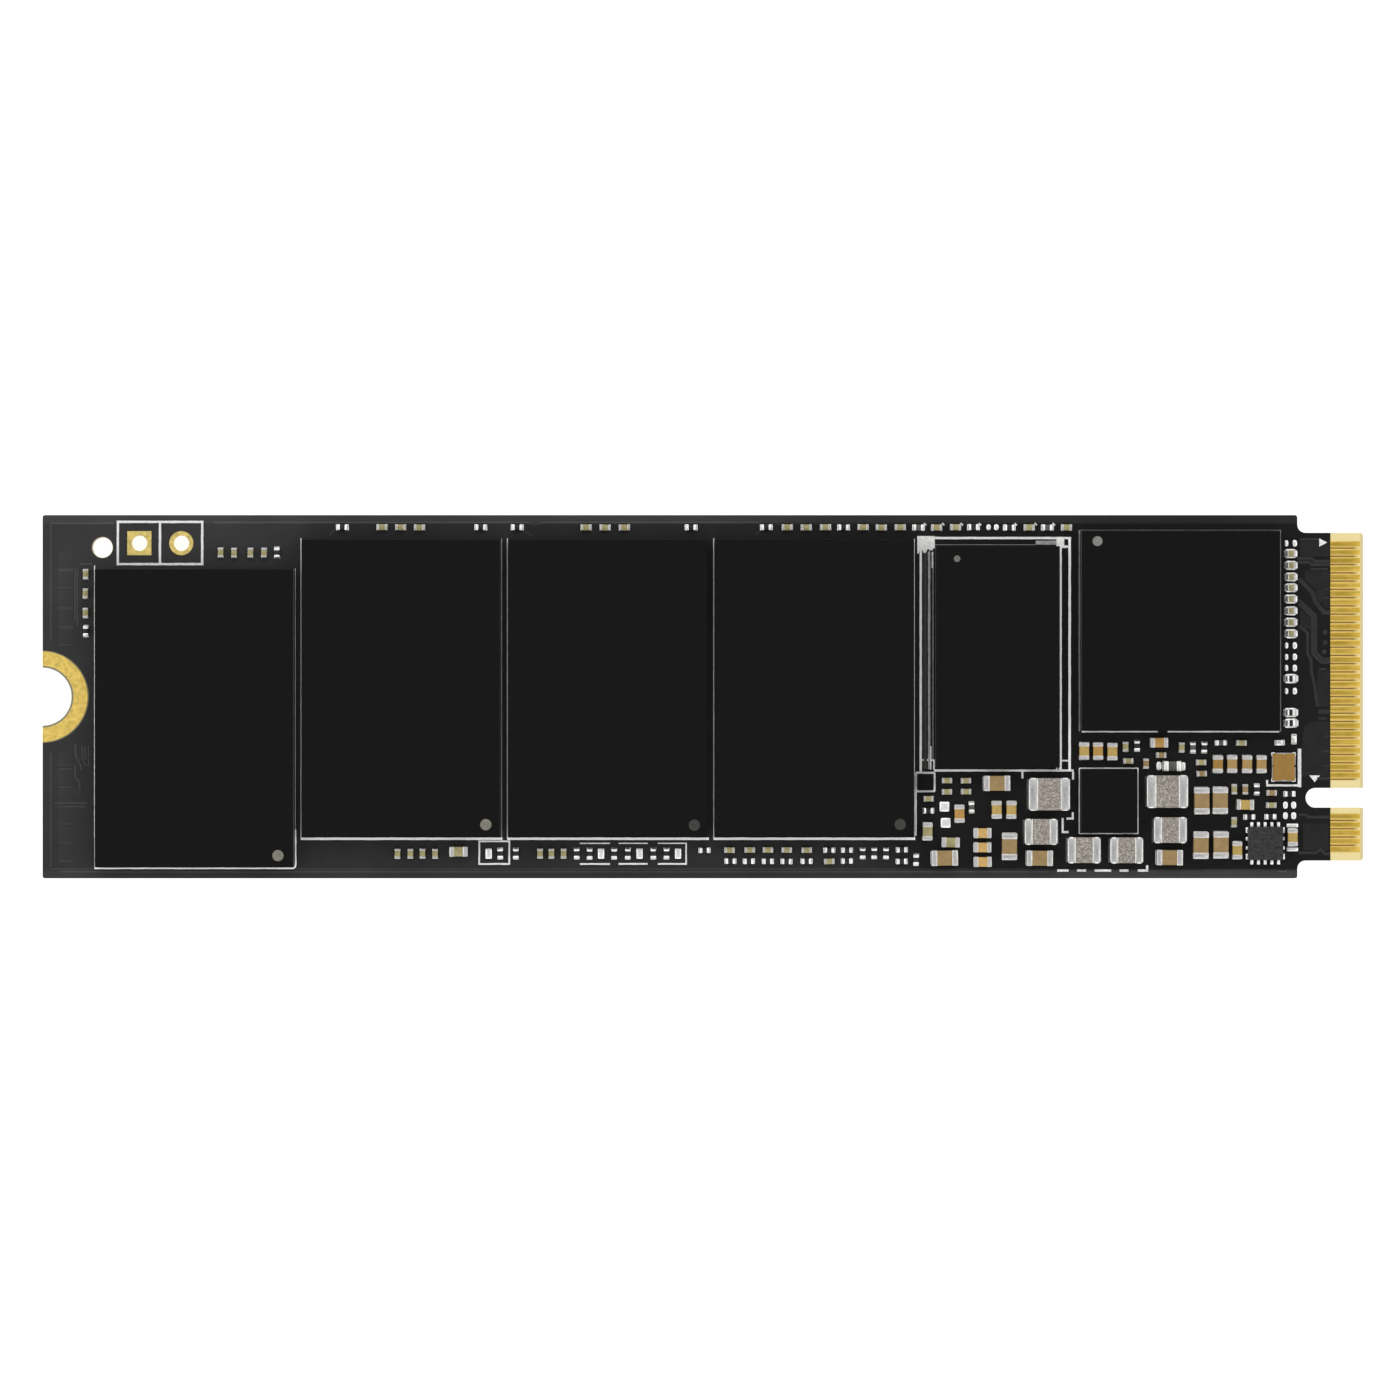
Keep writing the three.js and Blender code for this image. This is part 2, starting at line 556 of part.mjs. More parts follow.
function addPackages(parent) {
  NAND_CENTRES.forEach(([x, y], i) => addPackage(parent, 'nand', NAND, x, y, `_${i + 1}`));
  addPackage(parent, 'dram', DRAM, DRAM.x, DRAM.y);
  addPackage(parent, 'controller', CONTROLLER, CONTROLLER.x, CONTROLLER.y);
  addPackage(parent, 'power_manager', POWER_MANAGER, POWER_MANAGER.x, POWER_MANAGER.y);
  const { x, y } = LOAD_SWITCH;
  addPiece(parent, 'load_switch_leadframe', switchFrame(), MATERIALS.tin, x, y);
  addPiece(parent, 'load_switch_package', switchBody(), MATERIALS.mould, x, y);
  const sensor = standing(0, 0, 0, SENSOR.length, SENSOR.width, SENSOR.height);
  addPiece(parent, 'temperature_sensor', sensor, MATERIALS.mould, SENSOR.x, SENSOR.y);
  addPiece(parent, 'crystal_base', crystalBase(), MATERIALS.tin, CRYSTAL.x, CRYSTAL.y);
  addPiece(parent, 'crystal_lid', crystalLid(), MATERIALS.amber, CRYSTAL.x, CRYSTAL.y);
}

function addPassives(parent) {
  INDUCTORS.forEach(([x, y, size], i) => {
    addPiece(parent, `power_inductor_${i + 1}`, inductor(size), MATERIALS.ferrite, x, y);
  });
  for (const [name, entries] of Object.entries(BULK_CAPACITORS)) {
    addPiece(parent, name, bulkCapacitor(entries), MATERIALS.ceramic);
  }
  for (const [name, bank] of Object.entries(CHIP_BANKS)) {
    addPiece(parent, name, chipBank(bank), MATERIALS.ceramic);
  }
}

// Everything on the component side stands on top of the card.
function addComponentSide() {
  const componentSide = new THREE.Group();
  componentSide.position.z = CARD_THICKNESS;
  addPackages(componentSide);
  addPassives(componentSide);
  drive.add(componentSide);
}

addCard();
addComponentSide();

export default drive;
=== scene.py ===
import json
import math
import random
from collections import namedtuple
from functools import lru_cache

import bmesh
import bpy
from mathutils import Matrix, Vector

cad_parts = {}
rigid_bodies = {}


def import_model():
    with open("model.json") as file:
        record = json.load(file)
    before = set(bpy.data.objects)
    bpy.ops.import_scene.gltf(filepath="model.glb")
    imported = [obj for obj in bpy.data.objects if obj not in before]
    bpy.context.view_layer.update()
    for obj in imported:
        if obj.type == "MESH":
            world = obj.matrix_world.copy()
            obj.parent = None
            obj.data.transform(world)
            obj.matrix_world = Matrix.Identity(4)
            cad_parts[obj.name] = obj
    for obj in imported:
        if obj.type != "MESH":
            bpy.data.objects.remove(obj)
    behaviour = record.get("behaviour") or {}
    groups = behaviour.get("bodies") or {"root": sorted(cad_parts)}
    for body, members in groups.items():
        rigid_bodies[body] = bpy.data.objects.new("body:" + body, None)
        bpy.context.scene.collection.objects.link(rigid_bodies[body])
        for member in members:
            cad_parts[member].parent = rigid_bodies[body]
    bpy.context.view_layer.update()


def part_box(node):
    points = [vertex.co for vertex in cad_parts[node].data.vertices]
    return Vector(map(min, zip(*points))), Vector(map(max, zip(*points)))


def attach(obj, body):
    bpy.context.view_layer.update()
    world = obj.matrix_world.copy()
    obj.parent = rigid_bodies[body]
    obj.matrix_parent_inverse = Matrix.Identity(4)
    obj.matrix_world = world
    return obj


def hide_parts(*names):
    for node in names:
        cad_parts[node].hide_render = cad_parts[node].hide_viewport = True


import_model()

# Shapes are drawn in millimetres, in the card's frame: +X towards the edge contacts, +Y towards
# contact 1, +Z out of the component side. A finished mesh is scaled to metres.
MM = 0.001
TURN = 2 * math.pi
rng = random.Random(7)


def box_mm(node):
    low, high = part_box(node)
    return low / MM, high / MM


card_low, card_high = box_mm("board_laminate")
mask_low, mask_high = box_mm("solder_mask_top")
under_low, under_high = box_mm("solder_mask_bottom")
CARD_TOP = mask_high.z
COPPER_TOP = card_high.z
COPPER_BOTTOM = card_low.z
LEFT, RIGHT = card_low.x, card_high.x
HALF_WIDTH = card_high.y
MASK_END = 38.0
SHOULDER = 36.0
TONGUE_HALF_WIDTH = 9.925
TONGUE_BEVEL = 0.2
ROOT_RADIUS = 0.5
CORNER_RADIUS, TIP_RADIUS = 0.15, 0.2
KEY_Y, KEY_RADIUS, KEY_END = -6.125, 0.6, 36.5
SCREW_RADIUS, LAND_RADIUS, LAND_OPENING = 1.75, 2.75, 2.8
CONTACT_PITCH, CONTACT_WIDTH = 0.5, 0.355
TOOLING_HOLE = (-36.38, 9.04, 0.62)
TEST_BORE = 0.47


# ---------------------------------------------------------------- materials

def shader(name, roughness, metallic=0.0, specular=0.5):
    """A new material: its node tree, its Principled node and its place in millimetres."""
    mat = bpy.data.materials.new(name)
    mat.use_nodes = True
    tree = mat.node_tree
    surface = tree.nodes["Principled BSDF"]
    surface.inputs["Roughness"].default_value = roughness
    surface.inputs["Metallic"].default_value = metallic
    surface.inputs["Specular IOR Level"].default_value = specular
    coords = tree.nodes.new("ShaderNodeTexCoord")
    scale = tree.nodes.new("ShaderNodeMapping")
    scale.inputs["Scale"].default_value = (1 / MM, 1 / MM, 1 / MM)
    tree.links.new(coords.outputs["Object"], scale.inputs["Vector"])
    return mat, tree, surface, scale.outputs["Vector"]


def stretched(tree, place, factors):
    node = tree.nodes.new("ShaderNodeMapping")
    node.inputs["Scale"].default_value = factors
    tree.links.new(place, node.inputs["Vector"])
    return node.outputs["Vector"]


def noise(tree, place, per_mm, detail=3.0, roughness=0.55):
    node = tree.nodes.new("ShaderNodeTexNoise")
    node.inputs["Scale"].default_value = per_mm
    node.inputs["Detail"].default_value = detail
    node.inputs["Roughness"].default_value = roughness
    tree.links.new(place, node.inputs["Vector"])
    return node.outputs["Fac"]


def cells(tree, place, per_mm):
    node = tree.nodes.new("ShaderNodeTexVoronoi")
    node.inputs["Scale"].default_value = per_mm
    tree.links.new(place, node.inputs["Vector"])
    return node.outputs["Color"]


def ramp(tree, value, *stops):
    """Colours, or greys for single numbers, at places from 0 to 1."""
    node = tree.nodes.new("ShaderNodeValToRGB")
    points = node.color_ramp.elements
    while len(points) < len(stops):
        points.new(0.5)
    for point, (place, shade) in zip(points, stops):
        colour = shade if isinstance(shade, tuple) else (shade, shade, shade)
        point.position = place
        point.color = (*colour, 1.0)
    tree.links.new(value, node.inputs["Fac"])
    return node.outputs["Color"]


def span(tree, value, start, end, kind="SMOOTHSTEP"):
    """0 before start, 1 after end, and smooth or straight between them."""
    node = tree.nodes.new("ShaderNodeMapRange")
    node.interpolation_type = kind
    node.inputs["From Min"].default_value = start
    node.inputs["From Max"].default_value = end
    tree.links.new(value, node.inputs["Value"])
    return node.outputs["Result"]


def math_node(tree, operation, a, b=None):
    node = tree.nodes.new("ShaderNodeMath")
    node.operation = operation
    for socket, value in zip(node.inputs, (a, b)):
        if value is None:
            continue
        if isinstance(value, (int, float)):
            socket.default_value = value
        else:
            tree.links.new(value, socket)
    return node.outputs["Value"]


def blend(tree, amount, first, second, mode="MIX"):
    node = tree.nodes.new("ShaderNodeMix")
    node.data_type = "RGBA"
    node.blend_type = mode
    for name, value in (("Factor", amount), ("A", first), ("B", second)):
        kind = "VALUE" if name == "Factor" else "RGBA"
        socket = next(s for s in node.inputs if s.name == name and s.type == kind)
        if isinstance(value, (int, float)):
            socket.default_value = value
        elif isinstance(value, tuple):
            socket.default_value = (*value, 1.0)
        else:
            tree.links.new(value, socket)
    return next(s for s in node.outputs if s.type == "RGBA")


def axes(tree, place):
    node = tree.nodes.new("ShaderNodeSeparateXYZ")
    tree.links.new(place, node.inputs["Vector"])
    return node.outputs["X"], node.outputs["Y"], node.outputs["Z"]


def relief(tree, surface, height, depth_mm, strength=0.6):
    node = tree.nodes.new("ShaderNodeBump")
    node.inputs["Strength"].default_value = strength
    node.inputs["Distance"].default_value = depth_mm * MM
    tree.links.new(height, node.inputs["Height"])
    tree.links.new(node.outputs["Normal"], surface.inputs["Normal"])


def finish(tree, surface, colour=None, roughness=None):
    if colour is not None:
        tree.links.new(colour, surface.inputs["Base Color"])
    if roughness is not None:
        tree.links.new(roughness, surface.inputs["Roughness"])


def tinted(colour, factor):
    return tuple(c * factor for c in colour)


def moulding(name, colour, grain=14.0, depth=0.004, mottle=(0.5, 0.14)):
    """Black epoxy moulding compound: a dull skin with a fine grain. mottle is (per mm, spread)."""
    mat, tree, surface, place = shader(name, 0.6, specular=0.11)
    surface.inputs["Sheen Weight"].default_value = 0.12
    surface.inputs["Sheen Roughness"].default_value = 0.3
    cloud = noise(tree, place, mottle[0], 4.0)
    fine = noise(tree, place, grain, 2.0, 0.7)
    colour_out = ramp(tree, cloud, (0.3, tinted(colour, 1 - mottle[1])), (0.7, tinted(colour, 1 + mottle[1])))
    finish(tree, surface, colour_out, ramp(tree, fine, (0.3, 0.5), (0.7, 0.68)))
    relief(tree, surface, fine, depth)
    return mat


def plain_ink(name, colour, unevenness=0.25):
    mat, tree, surface, place = shader(name, 0.6, specular=0.3)
    patches = noise(tree, place, 5.0, 3.0)
    low = tinted(colour, 1 - unevenness)
    finish(tree, surface, ramp(tree, patches, (0.3, low), (0.62, colour)))
    relief(tree, surface, noise(tree, place, 16.0), 0.003)
    return mat


def lacquer(name, lift=1.0):
    """Black solder mask. It is paler towards the screw end and along the long edges, partly from the copper
    under it and partly as painted reflection.
    """
    mat, tree, surface, place = shader(name, 0.5, specular=0.13)
    x, y, _ = axes(tree, place)
    along = span(tree, x, LEFT, RIGHT, "LINEAR")
    # Tone along X and in bands along the long edges: partly the copper under the lacquer, partly painted
    # reflection.
    upper = ramp(tree, along, (0.0, 0.027), (0.17, 0.026), (0.22, 0.018), (0.42, 0.016), (0.5, 0.013),
                 (0.65, 0.007), (0.76, 0.0045), (1.0, 0.0045))
    lower = ramp(tree, along, (0.0, 0.024), (0.3, 0.018), (0.62, 0.017), (0.67, 0.005), (0.94, 0.0045),
                 (1.0, 0.0075))
    inner = blend(tree, span(tree, y, -4.0, 4.0), lower, upper)
    upper_rim = ramp(tree, along, (0.0, 0.04), (0.3, 0.032), (0.5, 0.036), (0.6, 0.022), (0.8, 0.016),
                     (1.0, 0.017))
    lower_rim = ramp(tree, along, (0.0, 0.03), (0.35, 0.022), (0.52, 0.02), (0.74, 0.025), (0.78, 0.038),
                     (1.0, 0.038))
    rim = blend(tree, span(tree, y, -4.0, 4.0), lower_rim, upper_rim)
    base = blend(tree, span(tree, math_node(tree, "ABSOLUTE", y), 10.4, 10.6), inner, rim)
    cloud = ramp(tree, noise(tree, place, 0.35, 4.0), (0.3, 0.86 * lift), (0.7, 1.12 * lift))
    weave = noise(tree, stretched(tree, place, (1.0, 1.0, 0.2)), 6.0, 3.0)
    finish(tree, surface, blend(tree, 1.0, base, cloud, "MULTIPLY"),
           ramp(tree, weave, (0.3, 0.42), (0.7, 0.58)))
    relief(tree, surface, weave, 0.006, 0.45)
    return mat


def buried_copper(name, shade):
    """Solder mask where copper lies just under it."""
    mat, tree, surface, place = shader(name, 0.48, specular=0.13)
    cloud = noise(tree, place, 1.3, 4.0)
    finish(tree, surface, ramp(tree, cloud, (0.3, shade * 0.8), (0.7, shade * 1.15)))
    relief(tree, surface, noise(tree, place, 6.0), 0.005, 0.45)
    return mat


def gold(name, colour, spread=0.16):
    """Gold plate with a fine grain and a slow change of colour."""
    mat, tree, surface, place = shader(name, 0.34, metallic=1.0)
    marks = noise(tree, place, 4.0, 4.0, 0.6)
    cloud = noise(tree, place, 1.1, 2.0)
    shade = math_node(tree, "ADD", math_node(tree, "MULTIPLY", marks, 0.6),
                      math_node(tree, "MULTIPLY", cloud, 0.4))
    colour_out = ramp(tree, shade, (0.34, tinted(colour, 1 - spread)), (0.64, tinted(colour, 1 + spread)))
    finish(tree, surface, colour_out, ramp(tree, marks, (0.3, 0.28), (0.7, 0.44)))
    relief(tree, surface, noise(tree, place, 11.0, 2.0), 0.003)
    return mat


def gap_distance(tree, y):
    """How far a point is from the middle of the nearest gap between two contacts."""
    return math_node(tree, "PINGPONG", y, CONTACT_PITCH / 2)


def contact_gold():
    """Plated contacts: with a painted highlight along their edges, rubbed along X by the socket."""
    mat, tree, surface, place = shader("contact_gold", 0.36, metallic=1.0)
    _, y, _ = axes(tree, place)
    # A painted highlight: the gold is made paler along each contact's edges.
    edge = math_node(tree, "SUBTRACT", 1.0, span(tree, gap_distance(tree, y), 0.08, 0.15))
    rubs = noise(tree, stretched(tree, place, (0.02, 4.5, 1.0)), 3.2, 2.0, 0.5)
    cloud = noise(tree, stretched(tree, place, (0.9, 1.1, 1.0)), 1.6, 3.0)
    shade = math_node(tree, "MULTIPLY", math_node(tree, "ADD", rubs, cloud), 0.5)
    dark, usual, light = (0.53, 0.345, 0.05), (0.61, 0.405, 0.07), (0.75, 0.52, 0.115)
    middle = ramp(tree, shade, (0.36, dark), (0.5, usual), (0.66, light))
    finish(tree, surface, blend(tree, math_node(tree, "MULTIPLY", edge, 0.72), middle, (0.92, 0.68, 0.20)),
           ramp(tree, rubs, (0.3, 0.32), (0.7, 0.44)))
    relief(tree, surface, rubs, 0.003, 0.35)
    return mat


def laminate_material():
    """Glass-fibre laminate: pale on its faces, layered on its cut edges, with a painted dark line of shade in
    each gap between the contacts and painted shadow round the screw's ring.
    """
    mat, tree, surface, place = shader("laminate", 0.55, specular=0.35)
    pale, amber = (0.72, 0.60, 0.29), (0.33, 0.265, 0.13)
    flank, painted_gap_shade, shadow = (0.58, 0.41, 0.10), (0.11, 0.058, 0.012), (0.22, 0.21, 0.13)
    x, y, z = axes(tree, place)
    layers = noise(tree, stretched(tree, place, (0.5, 0.5, 14.0)), 1.0, 3.0)
    fibres = noise(tree, stretched(tree, place, (6.0, 6.0, 1.5)), 1.6, 3.0)
    grain = math_node(tree, "MULTIPLY", math_node(tree, "ADD", layers, fibres), 0.5)
    edge = ramp(tree, grain, (0.38, amber), (0.6, (0.52, 0.44, 0.245)))
    edge = blend(tree, span(tree, x, 39.6, 39.8), edge, tinted(pale, 0.8))
    middle = math_node(tree, "ABSOLUTE", math_node(tree, "SUBTRACT", z, (COPPER_TOP + COPPER_BOTTOM) / 2))
    on_face = span(tree, middle, 0.35, 0.366)
    face = ramp(tree, fibres, (0.3, tinted(pale, 0.9)), (0.7, pale))
    contacts = math_node(tree, "MULTIPLY", span(tree, x, MASK_END - 0.3, MASK_END - 0.1),
                         math_node(tree, "SUBTRACT", 1.0, span(tree, x, 39.35, 39.75)))
    inside = math_node(tree, "SUBTRACT", 1.0, span(tree, math_node(tree, "ABSOLUTE", y), 9.3, 9.42))
    off_key = span(tree, math_node(tree, "ABSOLUTE", math_node(tree, "SUBTRACT", y, KEY_Y)), 1.0, 1.1)
    rows = math_node(tree, "MULTIPLY", math_node(tree, "MULTIPLY", contacts, inside), off_key)
    # Painted shade: a dark line down the middle of each gap between the contacts.
    gap = blend(tree, span(tree, gap_distance(tree, y), 0.015, 0.05), painted_gap_shade, flank)
    face = blend(tree, rows, face, gap)
    far_x = math_node(tree, "ADD", x, -LEFT)
    radius = math_node(tree, "SQRT", math_node(tree, "ADD", math_node(tree, "MULTIPLY", far_x, far_x),
                                               math_node(tree, "MULTIPLY", y, y)))
    by_screw = math_node(tree, "SUBTRACT", 1.0, span(tree, radius, LAND_RADIUS + 0.1, LAND_RADIUS + 0.2))
    face = blend(tree, by_screw, face, shadow)
    finish(tree, surface, blend(tree, on_face, edge, face))
    relief(tree, surface, fibres, 0.008, 0.5)
    return mat


def tin(name, colour=(0.72, 0.72, 0.735), rough=(0.26, 0.46)):
    """Tinned terminals and solder: bright, a little uneven."""
    mat, tree, surface, place = shader(name, 0.34, metallic=1.0)
    patches = noise(tree, place, 4.5, 3.0)
    finish(tree, surface, ramp(tree, patches, (0.3, tinted(colour, 0.78)), (0.66, colour)),
           ramp(tree, patches, (0.3, rough[1]), (0.7, rough[0])))
    relief(tree, surface, noise(tree, place, 12.0, 2.0), 0.005)
    return mat


def fired(name, colour, spread=0.12):
    """Fired ceramic of a chip: even colour, tiny pits."""
    mat, tree, surface, place = shader(name, 0.5, specular=0.35)
    patches = noise(tree, place, 2.4, 4.0, 0.65)
    pits = noise(tree, place, 22.0, 2.0, 0.7)
    dark, light = tinted(colour, 1 - spread), tinted(colour, 1 + spread)
    finish(tree, surface, ramp(tree, patches, (0.3, dark), (0.7, light)),
           ramp(tree, pits, (0.3, 0.4), (0.7, 0.6)))
    relief(tree, surface, pits, 0.004)
    return mat


def speckled():
    """Pressed metal powder of the inductors: grey and brown grains."""
    mat, tree, surface, place = shader("ferrite_speckle", 0.75, specular=0.3)
    grains = cells(tree, place, 14.0)
    shade = tree.nodes.new("ShaderNodeSeparateColor")
    tree.links.new(grains, shade.inputs["Color"])
    fine = noise(tree, place, 7.0, 4.0, 0.75)
    mixed = math_node(tree, "ADD", math_node(tree, "MULTIPLY", shade.outputs["Red"], 0.35),
                      math_node(tree, "MULTIPLY", fine, 0.75))
    colour = ramp(tree, mixed, (0.3, (0.115, 0.098, 0.086)), (0.48, (0.20, 0.176, 0.155)),
                  (0.6, (0.265, 0.237, 0.213)), (0.78, (0.42, 0.385, 0.35)))
    finish(tree, surface, colour)
    relief(tree, surface, mixed, 0.012, 0.7)
    return mat


def polished(name, colour):
    mat, tree, surface, place = shader(name, 0.2, metallic=0.3)
    finish(tree, surface, ramp(tree, noise(tree, place, 0.6), (0.3, tinted(colour, 0.85)), (0.7, colour)),
           ramp(tree, noise(tree, place, 8.0), (0.3, 0.16), (0.7, 0.26)))
    return mat


MOULD_MEMORY = moulding("mould_memory", (0.0014, 0.0014, 0.0014))
MOULD_CONTROLLER = moulding("mould_controller", (0.0008, 0.0008, 0.0008))
MOULD_SWITCH = moulding("mould_switch", (0.029, 0.029, 0.03), 7.0, 0.02, (6.0, 0.45))
MASK = lacquer("solder_mask")
MASK_OVER_LAND = lacquer("solder_mask_over_land", 1.12)
MASK_RIDGE = lacquer("solder_mask_ridge", 1.8)
MASK_OVER_PLANE = buried_copper("solder_mask_over_plane", 0.013)
MASK_OVER_TRACK = buried_copper("solder_mask_over_track", 0.023)
LAMINATE = laminate_material()
RING_GOLD = gold("ring_gold", (0.98, 0.71, 0.18), spread=0.05)
PAD_GOLD = gold("pad_gold", (0.88, 0.69, 0.23), spread=0.08)
CONTACT_GOLD = contact_gold()
TIN = tin("terminal_tin", (0.6, 0.59, 0.58))
SMALL_TIN = tin("small_terminal_tin", (0.5, 0.49, 0.47))
CAP_TIN = tin("inductor_tin", (0.58, 0.58, 0.57))
SOLDER = tin("solder", (0.93, 0.93, 0.92), (0.34, 0.5))
INK = plain_ink("silkscreen_ink", (0.72, 0.72, 0.71))
# Brighter copies of the same ink, for lines beside the packages: painted light that makes up for the
# packages' shade.
INK_WITH_PAINTED_LIGHT = plain_ink("silkscreen_ink_with_painted_light", (0.8, 0.8, 0.79), 0.2)
INK_WITH_MORE_PAINTED_LIGHT = plain_ink("silkscreen_ink_with_more_painted_light", (0.99, 0.99, 0.98), 0.12)
FAINT_INK = plain_ink("thin_silkscreen_ink", (0.19, 0.19, 0.188), 0.35)
# A dimmer copy of the same ink.
PALE_INK = plain_ink("dim_silkscreen_ink", (0.36, 0.36, 0.356), 0.4)
DOT_PALE = plain_ink("dot_pale", (0.175, 0.167, 0.137))
DOT_DARK = plain_ink("dot_dark", (0.032, 0.033, 0.028))
DOT_GREY = plain_ink("dot_grey", (0.19, 0.186, 0.172))
DOT_DULL = plain_ink("dot_dull", (0.125, 0.122, 0.112))
SUBSTRATE = buried_copper("package_substrate", 0.03)
FERRITE = speckled()
SILICON = polished("silicon", (0.09, 0.095, 0.11))
AMBER = fired("amber_cap", (0.25, 0.138, 0.025), 0.12)
CERAMICS = {
    "t": fired("ceramic_tan", (0.255, 0.17, 0.07)),
    "g": fired("ceramic_olive", (0.30, 0.268, 0.122)),
    "o": fired("ceramic_orange", (0.385, 0.212, 0.046)),
    "e": fired("ceramic_copper", (0.28, 0.148, 0.027)),
    "b": fired("ceramic_ochre", (0.40, 0.27, 0.073)),
    "d": fired("ceramic_umber", (0.32, 0.20, 0.065)),
    "y": fired("ceramic_straw", (0.49, 0.305, 0.097)),
    "r": fired("resistor_glaze", (0.008, 0.008, 0.009)),
    "k": fired("resistor_slate", (0.075, 0.078, 0.066)),
    "s": TIN,
}


# ---------------------------------------------------------------- shapes

class Build:
    """Closed shapes in millimetres, collected into one mesh with several materials."""

    def __init__(self):
        self.materials, self.verts, self.faces, self.slots = [], [], [], []

    def add(self, shape, material, x=0.0, y=0.0, z=0.0, turn=0.0):
        if material not in self.materials:
            self.materials.append(material)
        verts, faces = shape
        first = len(self.verts)
        c, s = math.cos(turn), math.sin(turn)
        self.verts += [(x + c * u - s * v, y + s * u + c * v, z + w) for u, v, w in verts]
        self.faces += [[first + i for i in face] for face in faces]
        self.slots += [self.materials.index(material)] * len(faces)

    def make(self, name, slot, *nodes, smooth=32.0):
        mesh = bpy.data.meshes.new(name)
        mesh.from_pydata([Vector(v) * MM for v in self.verts], [], self.faces)
        for material in self.materials:
            mesh.materials.append(material)
        mesh.polygons.foreach_set("material_index", self.slots)
        mesh.polygons.foreach_set("use_smooth", [True] * len(mesh.polygons))
        mesh.set_sharp_from_angle(angle=math.radians(smooth))
        mesh.validate()
        piece = bpy.data.objects.new(name, mesh)
        bpy.context.collection.objects.link(piece)
        normals = piece.modifiers.new("even_normals", "WEIGHTED_NORMAL")
        normals.keep_sharp = True
        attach(piece, "root")
        if nodes:
            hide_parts(*nodes)
        return piece


def shape_of(bm):
    bm.normal_update()
    bm.verts.ensure_lookup_table()
    shape = [tuple(v.co) for v in bm.verts], [[v.index for v in f.verts] for f in bm.faces]
    bm.free()
    return shape


@lru_cache(maxsize=None)
def block(length, width, height, edge=0.02, upright=0.0, steps=2, all_round=False):
    """A box standing on z = 0, with rounded upright corners and a rounded rim."""
    bm = bmesh.new()
    bmesh.ops.create_cube(bm, size=1.0)
    bmesh.ops.scale(bm, vec=(length, width, height), verts=bm.verts)
    bmesh.ops.translate(bm, vec=(0, 0, height / 2), verts=bm.verts)
    if upright:
        corners = [e for e in bm.edges if abs(e.verts[0].co.z - e.verts[1].co.z) > height / 2]
        bmesh.ops.bevel(bm, geom=corners, offset=upright, segments=4, profile=0.5, affect="EDGES")
    if edge:
        def on_rim(e):
            return all(v.co.z > height - 1e-5 for v in e.verts) or all_round
        rim = [e for e in bm.edges if on_rim(e)]
        bmesh.ops.bevel(bm, geom=rim, offset=edge, segments=steps, profile=0.5, affect="EDGES")
    return shape_of(bm)


def arc(cx, cy, radius, start, end, steps=12):
    return [
        (cx + radius * math.cos(start + (end - start) * i / steps),
         cy + radius * math.sin(start + (end - start) * i / steps))
        for i in range(steps + 1)
    ]


def circle(cx, cy, radius, steps=40):
    return arc(cx, cy, radius, 0, TURN, steps)[:-1]


def rounded_outline(length, width, radius, steps=4):
    points = []
    for i, (sx, sy) in enumerate(((1, 1), (-1, 1), (-1, -1), (1, -1))):
        start = i * TURN / 4
        x, y = sx * (length / 2 - radius), sy * (width / 2 - radius)
        points += arc(x, y, radius, start, start + TURN / 4, steps)
    return points


def layered(outline, levels):
    """A closed stack of one convex outline, at (height, scale) levels, about its own middle."""
    n = len(outline)
    verts = [(x * scale, y * scale, z) for z, scale in levels for x, y in outline]
    faces = [list(range(n))[::-1]]
    for k in range(len(levels) - 1):
        a, b = k * n, (k + 1) * n
        faces += [[a + i, a + (i + 1) % n, b + (i + 1) % n, b + i] for i in range(n)]
    faces.append([(len(levels) - 1) * n + i for i in range(n)])
    return verts, faces


@lru_cache(maxsize=None)
def disc(radius, height, steps=28):
    return layered(circle(0, 0, radius, steps), ((0, 1), (height * 0.7, 1), (height, 0.94)))


@lru_cache(maxsize=None)
def pillow(length, width, height, roundness=0.2):
    """A solder-covered pad: a low dome on a rounded rectangle."""
    outline = rounded_outline(length, width, min(length, width) * roundness)
    dome = ((0, 1), (0.45, 0.98), (0.75, 0.88), (0.92, 0.66), (1, 0.3))
    return layered(outline, [(height * part, scale) for part, scale in dome])


@lru_cache(maxsize=None)
def ball(radius, squash=0.82):
    """A solder ball, flat where it meets the board and the package."""
    steps = 12
    rings = [(-1, 0.55), (-0.6, 0.86), (0, 1), (0.6, 0.86), (1, 0.55)]
    levels = [((z + 1) * radius * squash, r) for z, r in rings]
    return layered(circle(0, 0, radius, steps), levels)


def turned(profile, steps=56, start=0.0, sweep=TURN, square_from=None):
    """A closed (radius, height) profile turned about z. Points past square_from lie on a square."""
    whole = abs(sweep - TURN) < 1e-6
    rows = steps if whole else steps + 1
    n = len(profile)
    verts = []
    for k in range(rows):
        angle = start + sweep * k / steps
        c, s = math.cos(angle), math.sin(angle)
        for radius, z in profile:
            reach = radius
            if square_from and radius > square_from:
                reach = radius / max(abs(c), abs(s))
            verts.append((reach * c, reach * s, z))
    faces = []
    for k in range(steps):
        a, b = k * n, ((k + 1) % rows) * n
        faces += [[a + i, b + i, b + (i + 1) % n, a + (i + 1) % n] for i in range(n)]
    if not whole:
        faces += [list(range(n)), [steps * n + i for i in range(n)][::-1]]
    return verts, faces


